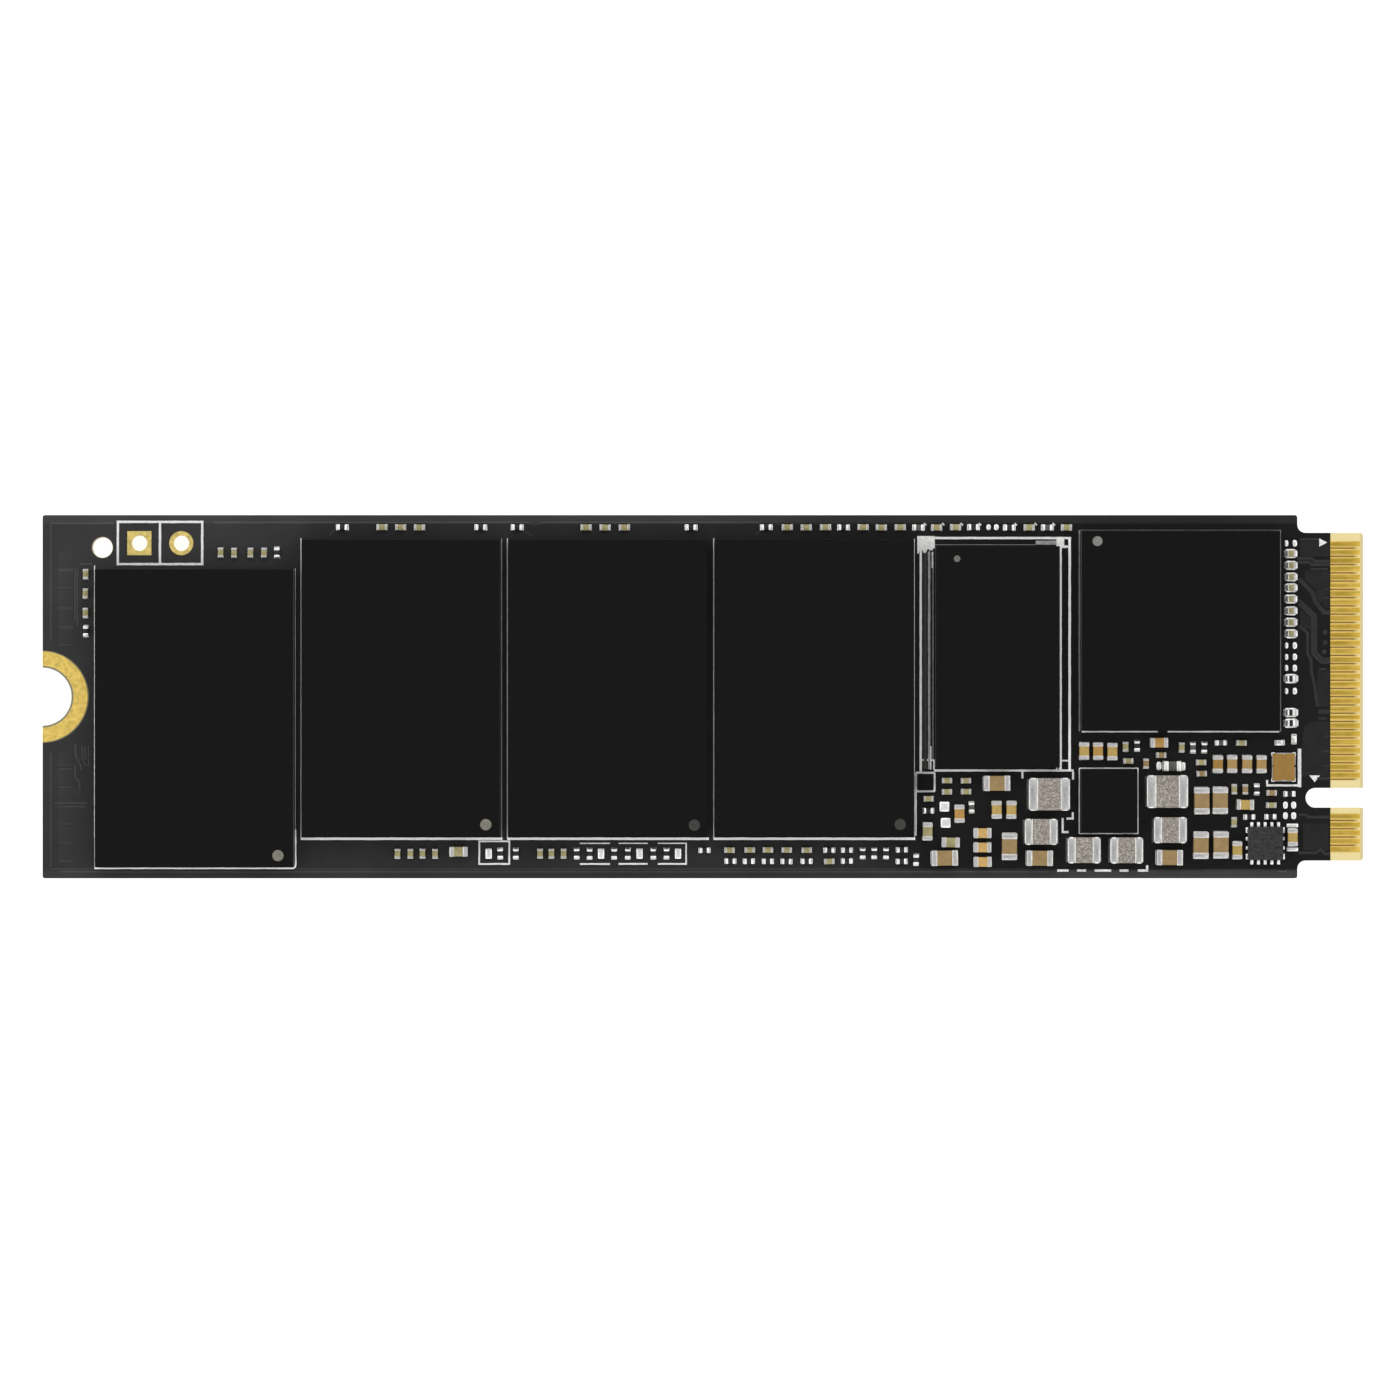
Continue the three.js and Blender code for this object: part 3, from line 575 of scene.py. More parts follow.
def ribbon(points, width, height, slope=0.0, ragged=0.0, closed=False):
    """A flat strip along straight runs, mitred at its bends, with sloping sides."""
    points = [Vector(p) for p in points]
    if ragged:
        points = refined(points, 0.35)
    n = len(points)
    rings = []
    for i, p in enumerate(points):
        before = points[i - 1] if i or closed else None
        after = points[(i + 1) % n] if i < n - 1 or closed else None
        ways = [d.normalized() for d in (p - before if before else None, after - p if after else None) if d]
        way = sum(ways, Vector((0, 0))).normalized()
        side = Vector((-way.y, way.x))
        half = width / 2 / max(0.5, abs(way.dot(ways[0])))
        left = half + rng.uniform(-ragged, ragged)
        right = half + rng.uniform(-ragged, ragged)
        offsets = (left + slope, left, -right, -right - slope)
        rings.append([p + side * offset for offset in offsets])
    verts = [(q.x, q.y, z) for ring in rings for q, z in zip(ring, (0, height, height, 0))]
    faces = []
    for i in range(n if closed else n - 1):
        a, b = 4 * i, 4 * ((i + 1) % n)
        faces += [[a + k, a + (k + 1) % 4, b + (k + 1) % 4, b + k] for k in range(4)]
    if not closed:
        faces += [[3, 2, 1, 0], [4 * n - 4, 4 * n - 3, 4 * n - 2, 4 * n - 1]]
    return verts, faces


def refined(points, step):
    """The same straight runs with a point every step or so."""
    fine = [points[0]]
    for a, b in zip(points, points[1:]):
        count = max(1, round((b - a).length / step))
        fine += [a.lerp(b, i / count) for i in range(1, count + 1)]
    return fine


def plate(outlines, z0, z1):
    """A flat plate with holes: the first outline is its rim."""
    curve = bpy.data.curves.new("outline", "CURVE")
    curve.dimensions = "2D"
    curve.fill_mode = "BOTH"
    curve.extrude = (z1 - z0) / 2
    for points in outlines:
        spline = curve.splines.new("POLY")
        spline.points.add(len(points) - 1)
        for point, (x, y) in zip(spline.points, points):
            point.co = (x, y, 0, 1)
        spline.use_cyclic_u = True
    holder = bpy.data.objects.new("outline", curve)
    bpy.context.collection.objects.link(holder)
    filled = bpy.data.meshes.new_from_object(holder.evaluated_get(bpy.context.evaluated_depsgraph_get()))
    bm = bmesh.new()
    bm.from_mesh(filled)
    bmesh.ops.remove_doubles(bm, verts=bm.verts, dist=1e-4)
    bmesh.ops.translate(bm, vec=(0, 0, (z0 + z1) / 2), verts=bm.verts)
    bmesh.ops.recalc_face_normals(bm, faces=bm.faces)
    bpy.data.objects.remove(holder)
    bpy.data.curves.remove(curve)
    bpy.data.meshes.remove(filled)
    return bm


def card_outline(end, screw_radius, inset=0.0):
    """The card's rim up to x = end, moved inwards by inset."""
    r, q = CORNER_RADIUS, TURN / 4
    top, left = HALF_WIDTH - inset, LEFT + inset
    side, shoulder = TONGUE_HALF_WIDTH - inset, SHOULDER - inset
    root, key = ROOT_RADIUS + inset, KEY_RADIUS + inset
    key_x = KEY_END + KEY_RADIUS
    points = arc(shoulder - r, -top + r, r, -q, 0)
    points += arc(SHOULDER + ROOT_RADIUS, -TONGUE_HALF_WIDTH - ROOT_RADIUS, root, 2 * q, q)
    rounded = end == RIGHT
    tip_x, tip_y = end - TIP_RADIUS, side - TIP_RADIUS
    points += arc(tip_x, -tip_y, TIP_RADIUS, -q, 0, 4) if rounded else [(end, -side)]
    points.append((end, KEY_Y - key))
    points += arc(key_x, KEY_Y, key, -q, -3 * q, 24)
    points.append((end, KEY_Y + key))
    points += arc(tip_x, tip_y, TIP_RADIUS, 0, q, 4) if rounded else [(end, side)]
    points += arc(SHOULDER + ROOT_RADIUS, TONGUE_HALF_WIDTH + ROOT_RADIUS, root, -q, -2 * q)
    points += arc(shoulder - r, top - r, r, 0, q)
    points += arc(left + r, top - r, r, q, 2 * q)
    reach = math.acos(min(1.0, inset / screw_radius))
    points += arc(LEFT, 0, screw_radius, reach, -reach, 40)
    points += arc(left + r, -top + r, r, 2 * q, 3 * q)
    return points


# ---------------------------------------------------------------- board

def test_holes():
    """Middle of each plated test hole, from its CAD node, and whether its pad is square."""
    for name, square in (("test_hole_square", True), ("test_hole_round", False)):
        low, high = box_mm(name)
        yield name, (low.x + high.x) / 2, (low.y + high.y) / 2, (high.x - low.x) / 2 - 0.01, square


def make_laminate():
    holes = [circle(*TOOLING_HOLE)]
    holes += [circle(x, y, TEST_BORE + 0.05) for _, x, y, _, _ in test_holes()]
    bm = plate([card_outline(RIGHT, SCREW_RADIUS), *holes], COPPER_BOTTOM, COPPER_TOP)
    start = RIGHT - TONGUE_BEVEL
    whole = bm.verts[:] + bm.edges[:] + bm.faces[:]
    bmesh.ops.bisect_plane(bm, geom=whole, plane_co=(start, 0, 0), plane_no=(1, 0, 0), dist=1e-5)
    middle = (COPPER_TOP + COPPER_BOTTOM) / 2
    for v in bm.verts:
        if v.co.x > start:
            v.co.z -= math.copysign(v.co.x - start, v.co.z - middle)
    build = Build()
    build.add(shape_of(bm), LAMINATE)
    build.make("laminate_board", "laminate", "board_laminate")


def mask_openings():
    """Holes in the lacquer, which laps a little over the pads of the test holes."""
    lap = 0.01
    openings = [circle(TOOLING_HOLE[0], TOOLING_HOLE[1], TOOLING_HOLE[2] + 0.02)]
    for _, x, y, half, square in test_holes():
        if square:
            reach = 2 * (half - lap)
            openings.append([(x + u, y + v) for u, v in rounded_outline(reach, reach, 0.05, 2)])
        else:
            openings.append(circle(x, y, half - lap))
    return openings


def tongue_planes():
    """Copper areas under the lacquer beside the contacts."""
    return [
        [(36.15, 8.5), (37.95, 8.5), (37.95, 9.42), (36.15, 9.42)],
        [(36.45, 7.1), (37.1, 6.45), (37.25, 5.85), (37.7, 5.4), (37.95, 5.4), (37.95, 7.62), (36.45, 7.62)],
        [(36.2, 4.1), (36.8, 4.1), (36.8, 4.75), (36.2, 5.3)],
        [(37.3, -0.62), (37.95, -0.62), (37.95, 1.55), (37.25, 1.55), (37.15, 0.8)],
        [(36.45, -1.75), (37.0, -1.5), (37.95, -1.5), (37.95, -4.8), (36.3, -4.8), (36.3, -2.4)],
        [(36.35, -9.3), (37.9, -9.3), (37.9, -7.7), (36.35, -7.7)],
    ]


def tongue_tracks():
    """Tracks under the lacquer from the chips to the contacts, as (width, points)."""
    narrow, usual, wide = 0.07, 0.12, 0.2
    return [
        (narrow, [(36.16, 9.53), (37.3, 9.53)]),
        (usual, [(36.0, 8.38), (36.85, 8.38), (37.03, 8.2), (37.97, 8.2)]),
        (usual, [(36.0, 8.14), (36.72, 8.14), (36.86, 8.0), (37.97, 8.0)]),
        (narrow, [(36.8, 7.73), (37.84, 7.73)]),
        (wide, [(36.1, 7.12), (36.92, 6.3), (37.1, 5.75), (37.62, 5.1), (37.97, 5.1)]),
        (usual, [(36.1, 5.62), (36.91, 4.85), (36.91, 2.62), (37.45, 2.08), (37.97, 2.08)]),
        (usual, [(36.1, 5.86), (37.1, 4.92), (37.1, 2.7), (37.53, 2.27), (37.97, 2.27)]),
        (usual, [(36.1, 4.3), (36.62, 3.85), (36.62, 2.6), (36.84, 2.2), (36.84, 1.5)]),
        (usual, [(36.84, 1.53), (37.0, 0.9), (37.24, -0.6)]),
        (narrow, [(37.3, 1.67), (37.78, 1.67)]),
        (narrow, [(37.6, 6.5), (37.95, 6.5)]),
        (narrow, [(37.6, 5.98), (37.95, 5.98)]),
        (wide, [(37.28, -0.9), (37.97, -0.9)]),
        (narrow, [(37.28, -1.32), (37.8, -1.32)]),
        (narrow, [(37.6, -2.4), (37.95, -2.4)]),
        (narrow, [(37.55, -3.3), (37.95, -3.3)]),
        (narrow, [(37.6, -4.2), (37.95, -4.2)]),
        (usual, [(37.2, -4.95), (37.97, -4.95)]),
        (usual, [(36.1, -7.15), (36.5, -7.15), (36.64, -7.29), (37.97, -7.29)]),
        (usual, [(36.05, -9.45), (37.15, -9.45), (37.4, -9.25), (37.7, -9.52), (37.95, -9.52)]),
    ]


def plane_rims():
    """The edge of the copper plane under the lacquer, near the card's rim."""
    inset = 0.5
    x0, x1, y = LEFT + inset, SHOULDER - inset, HALF_WIDTH - inset
    return [
        [(x0, LAND_RADIUS + 0.6), (x0, y), (-35.7, y)],
        [(-29.6, 10.55), (-10.6, 10.55), (-10.35, 10.42), (-9.95, 10.42), (-9.7, 10.55)],
        [(-9.75, 10.55), (3.3, 10.55), (3.62, 10.38)],
        [(x0, -LAND_RADIUS - 0.6), (x0, -10.43), (20.9, -10.43)],
        [(-38.9, -10.6), (20.9, -10.6)],
        [(30.3, -10.45), (34.6, -10.45), (35.1, -10.2)],
        [(x1, -10.2), (x1, -9.95)],
    ]


def rim_tracks():
    """Short tracks under the lacquer along the long edges, as (width, points)."""
    slanted = [[(-22.2, 10.2), (-22.6, 9.77)], [(-10.9, 10.05), (-10.3, 9.7)], [(3.5, 10.1), (3.2, 9.75)]]
    boxed = [(34.88, -10.12), (35.32, -10.12), (35.32, -10.58), (34.88, -10.58), (34.88, -10.12)]
    return [(0.08, track) for track in slanted] + [(0.05, boxed)]


def land_rows():
    """Unused lands under the lacquer in two columns at the screw end, as lower and upper edges."""
    upper = [(7.72, 8.8), (6.58, 7.62), (5.42, 6.45), (4.24, 5.32), (3.14, 4.12)]
    lower = [(-4.2, -3.3), (-5.46, -4.4), (-6.42, -5.56), (-7.7, -6.68), (-8.85, -7.8), (-9.96, -8.95)]
    return upper + lower


def winding_tracks():
    """Short tracks under the lacquer beside the screw end's lands, as (width, points)."""
    return [
        (0.09, [(-38.0, -2.9), (-38.0, -3.5), (-37.78, -4.0), (-37.62, -4.3), (-37.62, -4.5)]),
        (0.09, [(-38.02, -4.1), (-38.02, -4.9), (-37.76, -5.15), (-37.74, -5.6)]),
        (0.07, [(-37.58, -2.95), (-37.58, -3.7), (-37.42, -4.1), (-37.2, -4.2), (-37.2, -3.0)]),
        (0.07, [(-37.42, -3.0), (-37.42, -3.6), (-37.34, -3.8)]),
        (0.07, [(-39.27, -6.44), (-37.28, -6.44)]),
        (0.05, [(-39.1, -6.66), (-37.4, -6.66)]),
        (0.05, [(-38.02, 7.84), (-38.02, 4.5)]),
        (0.05, [(-37.88, 7.7), (-37.88, 4.3)]),
        (0.07, [(-37.7, 8.03), (-36.95, 8.03)]),
    ]


def land_borders():
    """Heights of the fine lines between the lands."""
    upper = (7.73, 7.64, 6.6, 5.43, 5.32, 4.26, 4.15, 3.14)
    lower = (-4.14, -4.37, -5.49, -6.44, -6.66, -7.7, -8.85, -9.96)
    return upper + lower


def via_caps():
    """Filled vias under the lacquer, as (x, y, radius)."""
    return [(37.68, 3.9, 0.15), (37.68, 3.28, 0.15), (37.62, 2.72, 0.15), (-37.72, -5.78, 0.17)]


def make_mask():
    rim = card_outline(MASK_END, LAND_OPENING)
    build = Build()
    build.add(shape_of(plate([rim, *mask_openings()], COPPER_TOP, CARD_TOP)), MASK)
    build.make("mask_component_side", "solder_mask", "solder_mask_top")
    make_buried_copper()


def make_buried_copper():
    """Slightly raised lacquer over the top copper. Each strip has its own height, so none share a face."""
    raised = Build()
    for area in tongue_planes():
        x, y = area[0]
        outline = [(u - x, v - y) for u, v in area]
        raised.add(layered(outline, ((0, 1), (0.008, 1))), MASK_OVER_PLANE, x, y, CARD_TOP)
    for k, (width, track) in enumerate(tongue_tracks()):
        raised.add(ribbon(track, width, 0.014 + 0.0005 * k, 0.03), MASK_OVER_TRACK, z=CARD_TOP)
    for low, high in land_rows():
        land = block(0.88, round(high - low, 3), 0.008, 0.006)
        raised.add(land, MASK_OVER_LAND, -38.6, (low + high) / 2, CARD_TOP)
    for y in land_borders():
        raised.add(ribbon([(-39.04, y), (-38.16, y)], 0.035, 0.01, 0.02), MASK_RIDGE, z=CARD_TOP)
    for k, track in enumerate(plane_rims()):
        raised.add(ribbon(track, 0.04, 0.012 + 0.0004 * k, 0.025), MASK_RIDGE, z=CARD_TOP)
    for k, (width, track) in enumerate(winding_tracks() + rim_tracks()):
        raised.add(ribbon(track, width, 0.015 + 0.0004 * k, 0.025), MASK_RIDGE, z=CARD_TOP)
    for x, y, radius in via_caps():
        raised.add(disc(radius, 0.018), MASK_OVER_LAND if x < 36 else MASK_OVER_TRACK, x, y, CARD_TOP)
    raised.make("mask_over_copper", "solder_mask")


def make_underside():
    """The plain lacquer of the underside."""
    rim = card_outline(MASK_END, LAND_OPENING)
    build = Build()
    build.add(shape_of(plate([rim, *mask_openings()], under_low.z, COPPER_BOTTOM)), MASK)
    build.make("mask_underside", "solder_mask", "solder_mask_bottom")


def make_rings():
    for name, z0, z1 in (("ground_ring_top", COPPER_TOP, CARD_TOP + 0.004),
                         ("ground_ring_bottom", 0.0, COPPER_BOTTOM)):
        soft = 0.012
        inner, outer = SCREW_RADIUS + 0.13, LAND_RADIUS - 0.01
        high = [(outer, z1 - soft), (outer - soft, z1), (inner + soft, z1), (inner, z1 - soft)]
        low = [(inner, z0), (outer, z0)]
        build = Build()
        build.add(turned(low + high, 64, -TURN / 4, TURN / 2), RING_GOLD, x=LEFT)
        build.make(name + "_plate", "gold_plate", name)


def make_contacts():
    for side, z in (("top", COPPER_TOP), ("bottom", 0.0)):
        for row in ("long", "short"):
            node = f"edge_contacts_{side}_{row}"
            low, high = box_mm(node)
            count = round((high.y - low.y - 0.35) / CONTACT_PITCH) + 1
            length = high.x - MASK_END + 0.04
            build = Build()
            for i in range(count):
                y = high.y - 0.175 - i * CONTACT_PITCH
                finger = block(length, CONTACT_WIDTH, high.z - low.z, 0.012, 0.0, 2)
                if side == "bottom":
                    verts, faces = finger
                    tall = high.z - low.z
                    finger = [(u, v, tall - w) for u, v, w in verts], [f[::-1] for f in faces]
                build.add(finger, CONTACT_GOLD, high.x - length / 2, y, z)
            build.make(node + "_fingers", "gold_plate", node)


def make_test_holes():
    for name, x, y, half, square in test_holes():
        soft, bore, barrel = 0.015, TEST_BORE, TEST_BORE + 0.05
        top, bottom = CARD_TOP + 0.006, 0.0
        profile = [
            (bore, bottom), (half, bottom), (half, COPPER_BOTTOM), (barrel, COPPER_BOTTOM),
            (barrel, COPPER_TOP), (half, COPPER_TOP), (half, top - soft), (half - soft, top),
            (bore + soft, top), (bore, top - soft),
        ]
        build = Build()
        build.add(turned(profile, 64, square_from=barrel + 0.01 if square else None), PAD_GOLD, x=x, y=y)
        build.make(name + "_plating", "gold_plate", name)


# ---------------------------------------------------------------- packages

def middle_of(low, high):
    return (low.x + high.x) / 2, (low.y + high.y) / 2


def make_cap(node, material, edge=0.035, dot=None):
    """A moulded cap over its CAD node. dot is (x, y, radius, material) of its contact 1 mark."""
    low, high = box_mm(node)
    x, y = middle_of(low, high)
    build = Build()
    build.add(block(high.x - low.x, high.y - low.y, high.z - low.z, edge, 0.03, 3), material, x, y, low.z)
    if dot:
        dx, dy, radius, ink = dot
        build.add(disc(radius, 0.006), ink, dx, dy, high.z - 0.001)
    build.make(node + "_moulding", "mould_compound", node)


def make_substrate(node, pitch, radius, rows=2):
    """A package substrate on its solder balls. Only the outer rows can be seen."""
    low, high = box_mm(node)
    x, y = middle_of(low, high)
    length, width = high.x - low.x, high.y - low.y
    gap = 2 * radius * 0.82
    build = Build()
    build.add(block(length, width, high.z - low.z - gap, 0.01), SUBSTRATE, x, y, low.z + gap)
    across, along = int((length - 0.9) / pitch), int((width - 0.9) / pitch)
    for i in range(across + 1):
        for j in range(along + 1):
            if min(i, j, across - i, along - j) < rows:
                u, v = (i - across / 2) * pitch, (j - along / 2) * pitch
                build.add(ball(radius), SOLDER, x + u, y + v, low.z)
    build.make(node + "_carrier", "package_substrate", node)


def make_packages():
    pale, dark = [(-25.68, -9.6), (-13.12, -7.73)], [(-0.52, -7.76), (11.92, -7.72)]
    for i, (x, y) in enumerate(pale + dark, 1):
        ink = DOT_PALE if (x, y) in pale else DOT_DARK
        make_cap(f"nand_package_{i}", MOULD_MEMORY, dot=(x, y, 0.34, ink))
        make_substrate(f"nand_substrate_{i}", 1.0, 0.17)
    make_cap("dram_package", MOULD_MEMORY, dot=(15.36, 8.34, 0.2, DOT_DULL))
    make_substrate("dram_substrate", 0.8, 0.18)
    make_cap("controller_package", MOULD_CONTROLLER, dot=(23.84, 9.4, 0.3, DOT_GREY))
    make_substrate("controller_substrate", 0.65, 0.155)
    make_cap("power_manager_package", MOULD_CONTROLLER, 0.025)
    make_substrate("power_manager_substrate", 0.4, 0.06)
    make_cap("temperature_sensor", MOULD_CONTROLLER, 0.02)
    for name, node in list(bpy.data.objects.items()):
        if "_die" in name:
            node.data.materials.clear()
            node.data.materials.append(SILICON)


def make_load_switch():
    low, high = box_mm("load_switch_package")
    x, y = middle_of(low, high)
    build = Build()
    build.add(block(high.x - low.x, high.y - low.y, high.z - low.z, 0.03, 0.02, 3), MOULD_SWITCH, x, y, low.z)
    build.make("load_switch_moulding", "mould_compound", "load_switch_package")
    frame_low, frame_high = box_mm("load_switch_leadframe")
    height = frame_high.z - frame_low.z
    leads = Build()
    leads.add(block(high.x - low.x - 0.02, high.y - low.y - 0.02, height, 0.01), TIN, x, y, frame_low.z)
    reach = (frame_high.y - frame_low.y - (high.y - low.y)) / 2
    for k in range(-2, 3):
        for way in (-1, 1):
            edge = y + way * ((high.y - low.y) / 2 + reach * 0.4)
            leads.add(block(0.17, reach * 1.2, height, 0.04, 0.04), SOLDER, x + k * 0.405, edge, frame_low.z)
            leads.add(pillow(0.21, 0.19, 0.1), SOLDER, x + k * 0.405, edge + way * reach * 0.35, CARD_TOP)
    for way in (-1, 1):
        for v, tall in ((-0.8, 0.34), (-0.28, 0.2), (0.28, 0.2), (0.8, 0.34)):
            edge = x + way * ((high.x - low.x) / 2 + 0.05)
            leads.add(block(0.16, tall, height, 0.03, 0.03), SOLDER, edge, y + v, frame_low.z)
    leads.make("load_switch_leads", "tin_metal", "load_switch_leadframe")


def make_crystal():
    low, high = box_mm("crystal_base")
    x, y = middle_of(low, high)
    length, width = high.x - low.x, high.y - low.y
    base = Build()
    base.add(block(length - 0.02, width - 0.02, high.z - low.z, 0.03, 0.06), TIN, x, y, low.z)
    for way in (-1, 1):
        for v in (-1, 1):
            foot_x, foot_y = x + way * (length / 2 - 0.1), y + v * (width / 2 - 0.1)
            base.add(pillow(0.26, 0.26, 0.1), SOLDER, foot_x, foot_y, CARD_TOP)
    base.make("crystal_metal_base", "tin_metal", "crystal_base")
    lid_low, lid_high = box_mm("crystal_lid")
    lid = Build()
    lid.add(block(length - 0.1, width - 0.1, lid_high.z - lid_low.z, 0.025, 0.04), AMBER, x, y, lid_low.z)
    for way in (-1, 1):
        tall = lid_high.z - lid_low.z
        notch = block(0.06, 0.13, tall + 0.004, 0.01)
        lid.add(notch, MOULD_CONTROLLER, x + way * (length / 2 - 0.06), y + 0.06, lid_low.z)
        tab = layered([(-0.13, 0.0), (0.13, 0.0), (0.0, -0.07 * way)], ((0, 1), (tall + 0.003, 1)))
        lid.add(tab, TIN, x, y + way * (width / 2 - 0.05), lid_low.z)
    lid.make("crystal_amber_lid", "amber_cap", "crystal_lid")


# ---------------------------------------------------------------- chips

def top_islands(node, height):
    """Boxes of the flat tops that a CAD node has at this height above the card, as x0, y0, x1, y1."""
    mesh = bpy.data.objects[node].data
    level = (CARD_TOP + height) * MM
    groups = []
    for face in mesh.polygons:
        corners = [mesh.vertices[i].co for i in face.vertices]
        if any(abs(c.z - level) > 5e-6 for c in corners):
            continue
        keys = {(round(c.x / MM, 3), round(c.y / MM, 3)) for c in corners}
        joined = [g for g in groups if g & keys]
        groups = [g for g in groups if not g & keys] + [keys.union(*joined)]
    boxes = []
    for keys in groups:
        xs, ys = [k[0] for k in keys], [k[1] for k in keys]
        boxes.append((min(xs), min(ys), max(xs), max(ys)))
    return boxes


def chips_of(node, height):
    """(x, y, lies along X) of each chip in a bank, left to right and then top to bottom."""
    chips = []
    for x0, y0, x1, y1 in top_islands(node, height):
        chips.append(((x0 + x1) / 2, (y0 + y1) / 2, x1 - x0 > y1 - y0))
    return sorted(chips, key=lambda c: (round(c[0], 2), -c[1]))


def fillet(reach, width, height):
    """Solder that climbs a terminal, from the pad at +x down from the wall at x = 0."""
    sections = []
    for t in (0.0, 0.25, 0.55, 1.0):
        tall = max(0.018, height * (1 - t) ** 1.8)
        sections.append((t * reach, width / 2 * (1.0 + 0.1 * math.sin(math.pi * t)), tall))
    verts, faces = [], [[0, 1, 2, 3]]
    for x, half, tall in sections:
        verts += [(x, -half, 0), (x, half, 0), (x, half * 0.88, tall), (x, -half * 0.88, tall)]
    for k in range(len(sections) - 1):
        a, b = 4 * k, 4 * k + 4
        faces += [[a + (i + 1) % 4, a + i, b + i, b + (i + 1) % 4] for i in range(4)]
    last = 4 * len(sections) - 4
    faces.append([last + 3, last + 2, last + 1, last])
    return verts, faces


def terminal_metal(kind, width):
    """Resistors and large chips have brighter ends than the smallest capacitors."""
    if kind in "rk":
        return SOLDER
    return TIN if width > 0.5 else SMALL_TIN


def add_chip(build, x, y, flat, size, kind):
    """A capacitor, or a resistor for kinds r and k, with its terminals and solder."""
    length, width, height = size.length, size.width, size.height
    resistor = kind in "rk"
    terminal, reach = size.terminal, size.reach
    if resistor:
        terminal, reach = round(terminal + 0.035, 4), reach + 0.05
    turn = 0.0 if flat else TURN / 4
    turn += rng.uniform(-0.02, 0.02)
    x += rng.uniform(-0.012, 0.012)
    y += rng.uniform(-0.012, 0.012)
    tall = height * (0.7 if resistor else 1.0)
    soft = size.soft
    slim = 0.03 if width > 0.5 else 0.012
    body_size = [round(v, 4) for v in (length - terminal, width - slim, tall - 0.015)]
    body = block(*body_size, soft * 0.7, soft * 0.5)
    build.add(body, CERAMICS[kind], x, y, CARD_TOP + 0.012, turn)
    rim = 0.043 if resistor else soft
    end = block(terminal, width, round(tall, 4), rim, rim, 3)
    end_tin = terminal_metal(kind, width)
    for way in (0.0, TURN / 2):
        c, s = math.cos(turn + way), math.sin(turn + way)
        middle = (length - terminal) / 2
        build.add(end, end_tin, x + c * middle, y + s * middle, CARD_TOP + 0.01, turn + way)
        face = length / 2 - soft * 0.4
        climb_reach = reach * 0.5 if size.bath else reach
        climb = fillet(climb_reach, width * 0.92, tall * (0.8 if resistor else 0.62))
        build.add(climb, SOLDER, x + c * face, y + s * face, CARD_TOP + 0.004, turn + way)
        pad_length = round(reach + size.under, 4)
        pad = length / 2 + reach - pad_length / 2
        build.add(pillow(pad_length, size.land, 0.03), SOLDER, x + c * pad, y + s * pad, CARD_TOP, turn + way)
    if size.bath:
        build.add(pillow(round(length + 2 * reach, 4), size.bath, 0.07, 0.42), TIN, x, y, CARD_TOP, turn)


# Reach is how far the solder runs out past the chip, land is the pad's width, under is how far the
# pad runs in below the chip, soft is the radius of the chip's edges, and bath is the width of the
# solder that joins both ends, where it does.
Size = namedtuple("Size", "length width height terminal reach land under soft bath")
SIZES = {
    "small": Size(0.6, 0.34, 0.3, 0.14, 0.015, 0.35, 0.15, 0.03, 0),
    "rounded": Size(0.62, 0.37, 0.3, 0.14, 0.025, 0.39, 0.15, 0.035, 0),
    "link": Size(0.5, 0.38, 0.3, 0.13, 0.16, 0.4, 0.2, 0.045, 0.57),
    "medium": Size(1.04, 0.61, 0.5, 0.25, 0.03, 0.63, 0.28, 0.032, 0),
    "large": Size(1.6, 0.93, 0.8, 0.36, 0.03, 0.95, 0.39, 0.036, 0),
}
HEIGHTS = {"small": 0.3, "rounded": 0.3, "link": 0.3, "medium": 0.48, "large": 0.78}

# Kinds of the chips in each bank, in the order that chips_of gives: capacitors by their colours in
# CERAMICS, r black and k slate resistors.
BANKS = {
    "input_capacitor_bank": {"medium": "eddd"},
    "output_capacitor_bank": {"medium": "yyy"},
    "corner_chip_column": {"small": "gggr"},
    "corner_chip_row": {"small": "ggggr"},
    "top_edge_chip_row": {"rounded": "rgggrrgggrrgggrgggkggrrgkg"},
    "bottom_edge_chip_row": {"small": "ggggrrgggrrrrrr", "medium": "g"},
    "bottom_double_chip_row": {"small": "rgrrgrgrggrrgrrrrrrrr"},
    "link_chip_column": {"link": "ggggggggrrr"},
    "left_power_chips": {"small": "grggggk", "medium": "ggobb"},
    "core_power_chips": {"small": "ggrttgkgtrkgss", "medium": "bobok"},
    "input_power_chips": {"small": "ggtrrrtgr", "medium": "bbb"},
    "bulk_capacitor_1": {"large": "t"},
    "bulk_capacitor_2": {"large": "t"},
    "bulk_capacitor_3": {"large": "t"},
    "bulk_capacitor_4": {"large": "t"},
    "bulk_capacitor_5": {"large": "t"},
    "bulk_capacitor_pair_1": {"large": "tt"},
    "bulk_capacitor_pair_2": {"large": "tt"},
}


def make_banks():
    for node, bank in BANKS.items():
        build = Build()
        for size, kinds in bank.items():
            chips = chips_of(node, HEIGHTS[size])
            if len(chips) != len(kinds):
                raise ValueError(f"{node} has {len(chips)} {size} chips, not {len(kinds)}: {chips}")
            for (x, y, flat), kind in zip(chips, kinds):
                add_chip(build, x, y, flat, SIZES[size], kind)
        for x0, y0, x1, y1 in top_islands(node, 0.05):
            roundness = 0.45 if node == "link_chip_column" else 0.1
            pad = pillow(0.9 * (x1 - x0), 0.9 * (y1 - y0), 0.05, roundness)
            build.add(pad, SOLDER, (x0 + x1) / 2, (y0 + y1) / 2, CARD_TOP)
        build.make(node + "_chips", "chip_ceramic", node)


